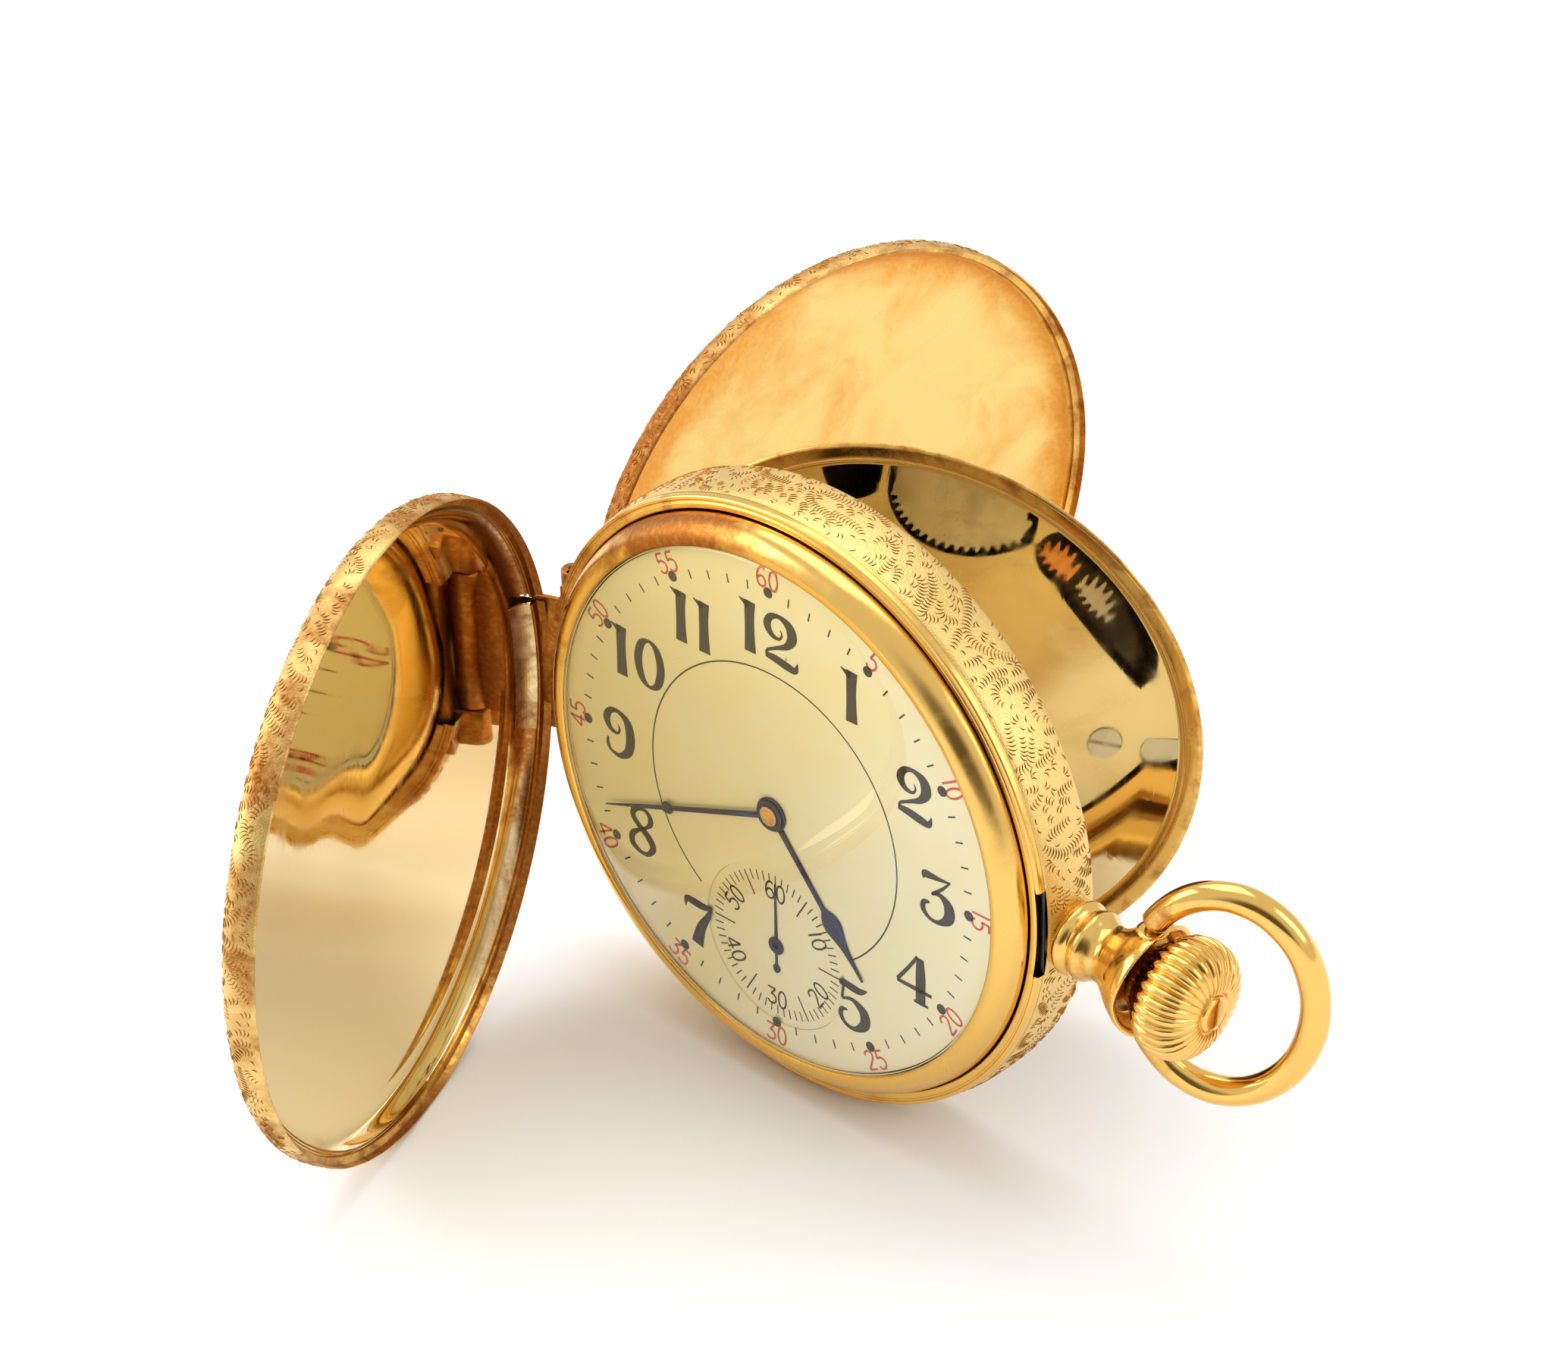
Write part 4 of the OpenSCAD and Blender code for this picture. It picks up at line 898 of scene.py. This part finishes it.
# small figures as plain lines: (across, up)
fineFigures = {
    "1": (0.34, [[(0.17, 0), (0.17, 1)]]),
    "2": (0.66, [[(0.05, 0.78), (0.14, 0.95), (0.34, 1.0), (0.52, 0.9), (0.55, 0.7), (0.4, 0.46), (0.16, 0.2),
                  (0.04, 0.02)], [(0.04, 0.02), (0.3, 0.02), (0.58, 0.03)]]),
    "3": (0.62, [[(0.04, 0.97), (0.3, 0.97), (0.54, 0.98)], [(0.54, 0.97), (0.38, 0.76), (0.24, 0.58)],
                 [(0.24, 0.58), (0.44, 0.56), (0.56, 0.38), (0.52, 0.14), (0.32, 0.02), (0.12, 0.06),
                  (0.03, 0.18)]]),
    "4": (0.68, [[(0.46, 0), (0.46, 0.5), (0.46, 1)], [(0.46, 1), (0.24, 0.64), (0.03, 0.3)],
                 [(0.03, 0.3), (0.3, 0.3), (0.64, 0.3)]]),
    "5": (0.62, [[(0.52, 0.98), (0.3, 0.98), (0.12, 0.97)], [(0.12, 0.97), (0.09, 0.75), (0.07, 0.56)],
                 [(0.07, 0.56), (0.3, 0.62), (0.52, 0.48), (0.54, 0.22), (0.38, 0.03), (0.16, 0.03),
                  (0.03, 0.16)]]),
    "6": (0.66, [[(0.52, 0.92), (0.34, 1.0), (0.14, 0.84), (0.05, 0.5), (0.1, 0.16), (0.3, 0.0), (0.52, 0.1),
                  (0.57, 0.32), (0.44, 0.52), (0.24, 0.54), (0.08, 0.36)]]),
    "0": (0.66, [[(0.3, 1.0), (0.12, 0.86), (0.05, 0.5), (0.12, 0.14), (0.3, 0.0), (0.48, 0.14), (0.55, 0.5),
                  (0.48, 0.86), (0.3, 1.0)]])}


def smoothLine(points, steps=6):
    if len(points) < 3:
        return points
    closed = points[0] == points[-1]
    out = []
    last = len(points) - 1
    for i in range(last):
        p0 = points[i - 1] if i else (points[-2] if closed else points[0])
        p1, p2 = points[i], points[i + 1]
        p3 = points[i + 2] if i + 2 <= last else (points[1] if closed else points[-1])
        for k in range(steps):
            t = k / steps
            out.append(tuple(0.5 * (2 * b + (c - a) * t + (2 * a - 5 * b + 4 * c - d) * t * t
                                    + (3 * b - a - 3 * c + d) * t ** 3)
                             for a, b, c, d in zip(p0, p1, p2, p3)))
    out.append(tuple(points[-1]))
    return out


# flat ribbon along pen points of (x, y, width)
def penRibbon(points):
    left, right = [], []
    for i, (x, y, w) in enumerate(points):
        a, b = points[max(0, i - 1)], points[min(len(points) - 1, i + 1)]
        dx, dy = b[0] - a[0], b[1] - a[1]
        size = math.hypot(dx, dy) or 1
        nx, ny = -dy / size * w / 2, dx / size * w / 2
        left.append((x + nx, y + ny))
        right.append((x - nx, y - ny))
    verts = left + right
    n = len(points)
    return verts, [(i, i + 1, n + i + 1, n + i) for i in range(n - 1)]


# a number drawn centred on a place of the dial, its top turned by an angle clockwise from twelve
def drawNumber(text, figures, centre, height, turn, penWidth=None, spread=0.06):
    parts, x = [], 0.0
    for figure in text:
        advance, strokes = figures[figure]
        for stroke in strokes:
            pen = [(p[0] + x, p[1], penWidth if penWidth else p[2]) for p in stroke]
            parts.append(penRibbon(smoothLine(pen)))
        x += advance + spread
    width = x - spread
    c, s = math.cos(math.radians(turn)), math.sin(math.radians(turn))
    out = []
    for verts, faces in parts:
        flat = []
        for px, py in verts:
            u, v = (px - width / 2) * height, (py - 0.5) * height
            flat.append((centre[0] + u * c + v * s, dialPrint["level"], centre[1] - u * s + v * c))
        out.append((flat, faces))
    return out


def dialPlace(radius, turn, centre=(0, 0)):
    a = math.radians(turn)
    return centre[0] + radius * math.sin(a), centre[1] + radius * math.cos(a)


def dialTick(centre, r0, r1, turn, width, level=None):
    a = math.radians(turn)
    nx, nz = math.cos(a) * width / 2, -math.sin(a) * width / 2
    (x0, z0), (x1, z1) = dialPlace(r0, turn, centre), dialPlace(r1, turn, centre)
    y = dialPrint["level"] if level is None else level
    return [(x0 + nx, y, z0 + nz), (x1 + nx, y, z1 + nz), (x1 - nx, y, z1 - nz),
            (x0 - nx, y, z0 - nz)], [(0, 1, 2, 3)]


def dialDot(centre, radius, steps=32):
    return ([(centre[0] + radius * math.cos(2 * math.pi * k / steps), dialPrint["level"],
              centre[1] + radius * math.sin(2 * math.pi * k / steps))
             for k in range(steps)], [tuple(range(steps))])


def toward(parts, shift):
    return [([(x, y + shift, z) for x, y, z in verts], faces) for verts, faces in parts]


def printDial():
    d = dialPrint
    hours, black, red, small = [], [], [], []
    for hour in (1, 2, 3, 4, 5, 7, 8, 9, 10, 11, 12):
        radius = d["hourRadius"] + (0.25 if hour in (2, 3, 4) else 0) - (0.35 if hour > 9 else 0)
        hours += drawNumber(str(hour), boldFigures, dialPlace(radius, hour * 30), d["hourHeight"], 0,
                            spread=0.10)
    for minute in range(60):
        turn = minute * 6
        if minute % 5:
            black.append(dialTick((0, 0), d["minuteTrack"] - d["tick"] / 2, d["minuteTrack"] + d["tick"] / 2,
                                  turn, d["tickWidth"]))
        else:
            black.append(dialDot(dialPlace(d["minuteTrack"], turn), d["dot"]))
            upright = turn if turn <= 90 or turn >= 270 else turn - 180
            red += drawNumber(str(minute or 60), fineFigures, dialPlace(d["redRadius"], turn), d["redHeight"],
                              upright, 0.12, 0.1)
    # thin ring inside the hours, open where the seconds dial cuts it
    opening = 38
    ring = [(d["innerRing"] * math.sin(math.radians(t)), d["innerRing"] * math.cos(math.radians(t)),
             d["ringWidth"])
            for t in range(-180 + opening, 181 - opening, 2)]
    verts, faces = penRibbon(ring)
    black.append(([(x, d["level"], z) for x, z in verts], faces))
    centre, track = d["secondsCentre"], d["secondsTrack"]
    sunk = 0.14
    for second in range(60):
        turn = second * 6
        long = second % 10 == 5
        small.append(dialTick(centre, track - (2.1 if long else 0.85), track, turn, 0.12 if long else 0.10))
        if second % 10 == 0:
            upright = turn if turn <= 90 or turn >= 270 else turn - 180
            small += drawNumber(str(second or 60), fineFigures, dialPlace(d["secondsNumber"], turn, centre),
                                d["secondsHeight"], upright, 0.11, 0.08)
    for name, parts, ink in (("hourFigures", hours, printBlack), ("minuteTrackMarks", black, printBlack),
                             ("marginFigures", red, printRed),
                             ("secondsMarks", toward(small, sunk), printBlack)):
        verts, faces = joinMeshes(parts)
        makePiece(name, verts, faces, [ink], "case", "enamel", smooth=False)


printDial()
print("dial printed")


handShape = {"hourTime": 4 + 41.4 / 60, "minuteTime": 41.4}


# blade lofted over stations of (distance out, half width) with a rounded top
def blade(stations, front, thickness, across=6):
    verts, faces = [], []
    n = across + 1
    for distance, half in stations:
        for k in range(n):
            a = math.pi * k / across
            verts.append((half * math.cos(a), front + thickness * (1 - math.sin(a) ** 0.6), distance))
        for k in (1, 0):
            verts.append((half * (1 - 2 * k), front + thickness, distance))
    ring = n + 2
    for i in range(len(stations) - 1):
        for k in range(ring):
            faces.append((i * ring + k, i * ring + (k + 1) % ring, (i + 1) * ring + (k + 1) % ring,
                          (i + 1) * ring + k))
    last = (len(stations) - 1) * ring
    faces += [tuple(range(ring)), tuple(last + k for k in range(ring))]
    return verts, faces


def turnHand(parts, degrees, centre=(0, 0)):
    c, s = math.cos(math.radians(degrees)), math.sin(math.radians(degrees))
    return [([(centre[0] + x * c + z * s, y, centre[1] - x * s + z * c) for x, y, z in verts],
             faces) for verts, faces in parts]


def makeHands():
    # hour hand: slender arm, pear-shaped bulb, fine point
    hour = [(1.1, 0.30), (3.0, 0.27), (6.5, 0.24), (7.9, 0.24)] + \
        [(8.15, 0.42), (8.4, 0.68), (8.75, 0.90), (9.15, 1.0), (9.55, 0.98), (9.95, 0.84), (10.4, 0.64),
         (10.9, 0.46), (11.5, 0.32), (12.2, 0.22),
         (13.2, 0.14), (14.0, 0.06)]
    collar = [(1.06, -0.235, 0), (1.3, -0.235, 0.05), (1.4, -0.2, 0.05), (1.4, -0.08, 0.03), (1.06, -0.08, 0)]
    parts = turnHand([blade(hour, -0.22, 0.14), turned(roundCorners(collar), 64)[:2]],
                     handShape["hourTime"] * 30)
    makePiece("hourHandBlade", *joinMeshes(parts), [bluedSteel], "hour_pipe", "blued_steel", ("hour_hand",))

    minute = [(0.9, 0.26), (5.0, 0.23), (10.8, 0.2)] + \
        [(10.9, 0.30), (11.1, 0.46), (11.35, 0.55), (11.6, 0.5), (11.85, 0.32), (12.0, 0.2), (14.0, 0.17),
         (16.0, 0.13), (18.4, 0.05)]
    collar = [(0.8, -0.44, 0), (1.0, -0.47, 0.03), (1.2, -0.44, 0.05), (1.25, -0.40, 0.03),
              (1.25, -0.30, 0.03), (0.8, -0.30, 0)]
    parts = turnHand([blade(minute, -0.42, 0.12), turned(roundCorners(collar), 64)[:2]],
                     handShape["minuteTime"] * 6)
    makePiece("minuteHandBlade", *joinMeshes(parts), [bluedSteel], "minute_arbor", "blued_steel",
              ("minute_hand",))

    # copper-toned end of the cannon pinion inside the hands' collars
    pipe = [(0.42, -0.5, 0.03), (0.5, -0.54, 0.03), (0.66, -0.53, 0.03), (0.7, -0.47, 0.02),
            (0.79, -0.45, 0.02), (0.79, -0.30, 0), (0.42, -0.30, 0)]
    makePiece("handPipeEnd", *turned(roundCorners(pipe), 64)[:2], [copperWheel], "minute_arbor", "steel")
    core = [(0.0, -0.46, 0), (0.34, -0.46, 0.05), (0.44, -0.42, 0.02), (0.44, -0.30, 0), (0.0, -0.30, 0)]
    makePiece("handPipeCore", *turned(roundCorners(core), 48)[:2], [bluedSteel], "minute_arbor", "steel")

    centre = dialPrint["secondsCentre"]
    needle = [(0.5, 0.16), (2.0, 0.13), (4.0, 0.1), (5.6, 0.06)]
    tail = [(-0.5, 0.12), (-1.6, 0.11), (-1.72, 0.16), (-1.85, 0.30), (-2.05, 0.38), (-2.25, 0.34),
            (-2.42, 0.2), (-2.48, 0.05)]
    hub = [(0.0, 0.0, 0), (0.45, 0.0, 0.05), (0.75, 0.03, 0.04), (0.75, 0.10, 0.02), (0.0, 0.10, 0)]
    parts = turnHand([blade(needle, 0.02, 0.08), blade(tail, 0.02, 0.08)], 0, centre)
    parts.append(turned(roundCorners(hub), 64, centre=centre)[:2])
    makePiece("secondsHandBlade", *joinMeshes(parts), [bluedSteel], "fourth_arbor", "blued_steel",
              ("seconds_hand",))


makeHands()
print("hands done")


pendantShape = {"depth": hunterCase["pendantDepth"], "turn": 2.8, "bowPivot": 31.77, "bowTurn": 23.2,
                "outside": [(23.0, 1.72, 0), (23.95, 1.74, 0), (24.3, 2.42, 0.1), (24.75, 2.42, 0.15),
                            (25.05, 2.68, 0.15), (25.3, 2.84, 0.2), (25.55, 2.86, 0.2),
                            (25.9, 2.7, 0.2), (26.05, 2.5, 0.12), (26.2, 2.46, 0.1), (26.4, 2.62, 0.12),
                            (26.75, 2.73, 0.2), (27.05, 2.72, 0.2), (27.3, 2.56, 0.2),
                            (27.7, 2.28, 0.3), (28.2, 2.15, 0.4), (28.8, 2.28, 0.4), (29.5, 2.75, 0.4),
                            (30.3, 3.38, 0.4), (31.1, 3.9, 0.4), (31.9, 4.22, 0.3),
                            (32.6, 4.34, 0.14)],
                "inside": [(32.62, 3.98, 0.14), (32.0, 3.76, 0.2), (31.4, 3.32, 0.2), (30.9, 3.2, 0.2),
                           (30.72, 1.3, 0.1), (23.0, 1.3, 0)]}
bowShape = {"halfWidth": 6.52, "halfHeight": 8.5, "reach": 5.45, "wire": 1.1, "rings": 160, "sides": 36}
crownShape = {"flutes": 30, "depth": 0.34,
              "outline": [(31.5, 0.0, 0), (31.5, 2.4, 0.1), (32.0, 2.72, 0.2), (32.6, 3.14, 0.2),
                          (33.0, 3.55, 0.2), (33.4, 3.96, 0.2), (33.95, 4.36, 0.2),
                          (34.55, 4.56, 0.2), (35.15, 4.6, 0.2), (35.85, 4.53, 0.2), (36.4, 4.3, 0.2),
                          (36.95, 3.86, 0.2), (37.35, 3.2, 0.2), (37.6, 2.3, 0.2),
                          (37.63, 1.62, 0.03), (37.5, 1.52, 0.03), (37.5, 1.42, 0.03), (37.72, 1.36, 0.06),
                          (37.82, 1.1, 0.1), (37.85, 0.0, 0)]}


def onPendant(point):
    x, y, z = point
    c, s = math.cos(math.radians(pendantShape["turn"])), math.sin(math.radians(pendantShape["turn"]))
    return (x * c + z * s, pendantShape["depth"] + y, -x * s + z * c)


def makePendant():
    outline = roundCorners(pendantShape["outside"] + pendantShape["inside"], 5)

    # the mouth dips at front and back, and rises into ears where the bow is held
    def saddle(x, r, angle, k):
        if x > 31.2:
            ears = abs(math.sin(angle))
            x += (0.10 * ears ** 3 - 0.55 * (1 - ears)) * min(1.0, (x - 31.2) / 1.2)
        return x, r
    parts = [turnedOnPendant(outline, 180, saddle)]
    for s in (-1, 1):      # seats for the ends of the bow
        parts.append(bowSocket(s))
    verts, faces = joinMeshes(parts)
    wear = [0.35 + 0.3 * (v[0] > 30.6 and math.hypot(v[1] - pendantShape["depth"],
                                                     v[2] + 1.5) < 3.7) for v in verts]
    makePiece("pendantTube", verts, faces, [goldPolished], "case", "gold", ("pendant",), marks=wear)


def bowSocket(s):
    pivot = pendantShape["bowPivot"]
    outline = [(0.5, 4.02), (1.0, 4.0), (1.12, 4.06), (1.16, 4.12), (1.1, 4.2), (0.5, 4.24)]
    verts, steps = [], 40
    for k in range(steps):
        a = 2 * math.pi * k / steps
        for r, z in outline:
            verts.append(onPendant((pivot + r * math.cos(a), r * math.sin(a), s * z)))
    return verts, ringFaces(steps, len(outline))


def makeBow():
    b = bowShape
    end = math.acos(-b["reach"] / b["halfWidth"])
    c, s = math.cos(math.radians(pendantShape["bowTurn"])), math.sin(math.radians(pendantShape["bowTurn"]))

    def place(u, side, z):
        return onPendant((pendantShape["bowPivot"] + u * c - side * s, u * s + side * c, z))

    verts, faces = [], []
    n = b["sides"]
    for i in range(b["rings"] + 1):
        k = i / b["rings"]
        a = -end + 2 * end * k
        u, z = b["reach"] + b["halfWidth"] * math.cos(a), b["halfHeight"] * math.sin(a)
        du, dz = -b["halfWidth"] * math.sin(a), b["halfHeight"] * math.cos(a)
        size = math.hypot(du, dz)
        nu, nz = dz / size, -du / size
        fromEnd = min(k, 1 - k) * 2 * end * 7.5      # distance along the wire from its nearer end
        r = b["wire"] * (1 - 0.14 * abs(2 * k - 1) ** 4) * (1 + 0.05 * noise.noise(Vector((u / 3, z / 3, 0))))
        r *= min(1.0, 0.80 + 0.20 * math.sqrt(min(1.0, fromEnd / 0.25)))      # rounded end face
        for j in range(n):
            t = 2 * math.pi * j / n
            verts.append(place(u + nu * r * math.cos(t), r * math.sin(t), z + nz * r * math.cos(t)))
    for i in range(b["rings"]):
        for j in range(n):
            p, q = i * n + j, i * n + (j + 1) % n
            faces.append((p, q, q + n, p + n))
    faces += [tuple(range(n)), tuple(b["rings"] * n + j for j in range(n))]
    parts = [(verts, faces)]
    for side in (-1, 1):      # pins that turn in the pendant's ears
        pin, steps = [], 24
        for k in range(steps):
            t = 2 * math.pi * k / steps
            for z in (3.35, 4.65):
                pin.append(place(0.45 * math.cos(t), 0.45 * math.sin(t), side * z))
        parts.append((pin, [(2 * k, 2 * k + 1, (2 * k + 3) % (2 * steps),
                             (2 * k + 2) % (2 * steps)) for k in range(steps)]))
    verts, faces = joinMeshes(parts)
    wear = [0.2 + 0.4 * (math.dist(v[:2], (31.7, pendantShape["depth"])) < 2.2) for v in verts]
    makePiece("bowLoop", verts, faces, [goldPolished], "bow_ring", "gold", ("bow",), marks=wear)


def makeCrown():
    shape = crownShape

    def flutes(x, r, angle, k):      # rounded ribs that fade towards the button and the base
        if r < 1.7:
            return x, r
        wave = abs(math.cos(shape["flutes"] * angle / 2))
        fade = min(1.0, (r - 1.6) / 0.9) * min(1.0, max(0.0, (x - 32.2) / 0.8))
        return x, r - shape["depth"] * fade * (1 - wave) ** 1.4
    verts, faces = turnedOnPendant(roundCorners(shape["outline"], 3), 720, flutes)
    wear = [0.1 + 0.5 * (v[0] < 33.2) for v in verts]
    makePiece("windingCrown", verts, faces, [goldPolished], "stem_and_crown", "gold", ("crown",), marks=wear)


makePendant()
makeBow()
makeCrown()

# lock catch: the dark steel end of the lock spring, standing in the lip at three o'clock
catchParts = [softBlock((23.0, 1.4, -3.6), (23.72, 2.5, 3.6), 0.12),
              softBlock((23.6, 1.85, -3.6), (24.3, 2.13, 3.6), 0.08)]
makePiece("lockCatchEnd", *joinMeshes(catchParts), [steelDark], "catch", "dark_steel", ("lock_catch",))
print("pendant, bow and crown done")


floorLevel = cadBounds[0][2]
studio = {"floorSize": 3.0, "worldStrength": 0.86}


def makeFloor():
    material, tree, shader = newMaterial("paleFloor", Roughness=0.9, Specular_IOR_Level=0.1)
    grain = objectNoise(tree, 40.0, 3.0, 0.5)
    tree.links.new(mixColour(tree, grain.outputs["Fac"], (0.95, 0.95, 0.95, 1), (0.98, 0.98, 0.98, 1)),
                   shader.inputs["Base Color"])
    bpy.ops.mesh.primitive_plane_add(size=studio["floorSize"], location=(0, 0, floorLevel - 0.00002))
    floor = bpy.context.object
    floor.name = "floor"
    floor.data.materials.append(material)


def makeLight(name, place, target, size, power, colour=(1, 1, 1)):
    light = bpy.data.lights.new(name, "AREA")
    light.shape, light.size, light.size_y = "RECTANGLE", size[0], size[1]
    light.energy, light.color = power, colour
    lamp = bpy.data.objects.new(name, light)
    lamp.location = place
    lamp.rotation_euler = (Vector(target) - Vector(place)).to_track_quat("-Z", "Y").to_euler()
    bpy.context.collection.objects.link(lamp)


def makeWorld():
    world = bpy.data.worlds.new("studio")
    world.use_nodes = True
    bpy.context.scene.world = world
    tree = world.node_tree
    background = tree.nodes["Background"]
    background.inputs["Strength"].default_value = studio["worldStrength"]
    # white tent with a darker opening on the viewer's side
    place = addNode(tree, "TexCoord")
    facing = addNode(tree, "VectorMath", operation="DOT_PRODUCT")
    tree.links.new(place.outputs["Generated"], facing.inputs[0])
    facing.inputs[1].default_value = (0.60, -0.75, 0.10)
    dark = rampMask(tree, facing.outputs["Value"], 0.72, 0.93)
    tree.links.new(mixColour(tree, dark, (1, 1, 1, 1), (0.16, 0.13, 0.10, 1)), background.inputs["Color"])


makeFloor()
makeWorld()
makeLight("overhead", (-0.15, 0.10, 0.55), (0, 0, 0), (0.5, 0.5), 1.5)
makeLight("leftCard", (-0.5, -0.35, 0.25), (0, 0, 0), (0.4, 0.5), 2.2)
makeLight("rightCard", (0.5, 0.25, 0.30), (0, 0, 0), (0.3, 0.4), 0.8)

view = {"azimuth": 43.75, "elevation": 33.125, "roll": -1.127, "distance": 0.34692,
        "aim": (-0.002993, 0.004491, 0.0081435), "lens": 109.2}


def makeCamera():
    azimuth, elevation = math.radians(view["azimuth"]), math.radians(view["elevation"])
    outward = Vector((math.sin(azimuth) * math.cos(elevation), -math.cos(azimuth) * math.cos(elevation),
                      math.sin(elevation)))
    lens = bpy.data.cameras.new("camera")
    lens.lens, lens.sensor_width, lens.clip_start = view["lens"], 36.0, 0.01
    camera = bpy.data.objects.new("camera", lens)
    turn = (-outward).to_track_quat("-Z", "Y").to_matrix().to_4x4()
    camera.matrix_world = Matrix.Translation(Vector(view["aim"]) + outward * view["distance"]) @ turn @ \
        Matrix.Rotation(math.radians(view["roll"]), 4, "Z")
    bpy.context.collection.objects.link(camera)
    bpy.context.scene.camera = camera


makeCamera()
bpy.context.scene.view_settings.view_transform = "Standard"
print("camera and lights ready")
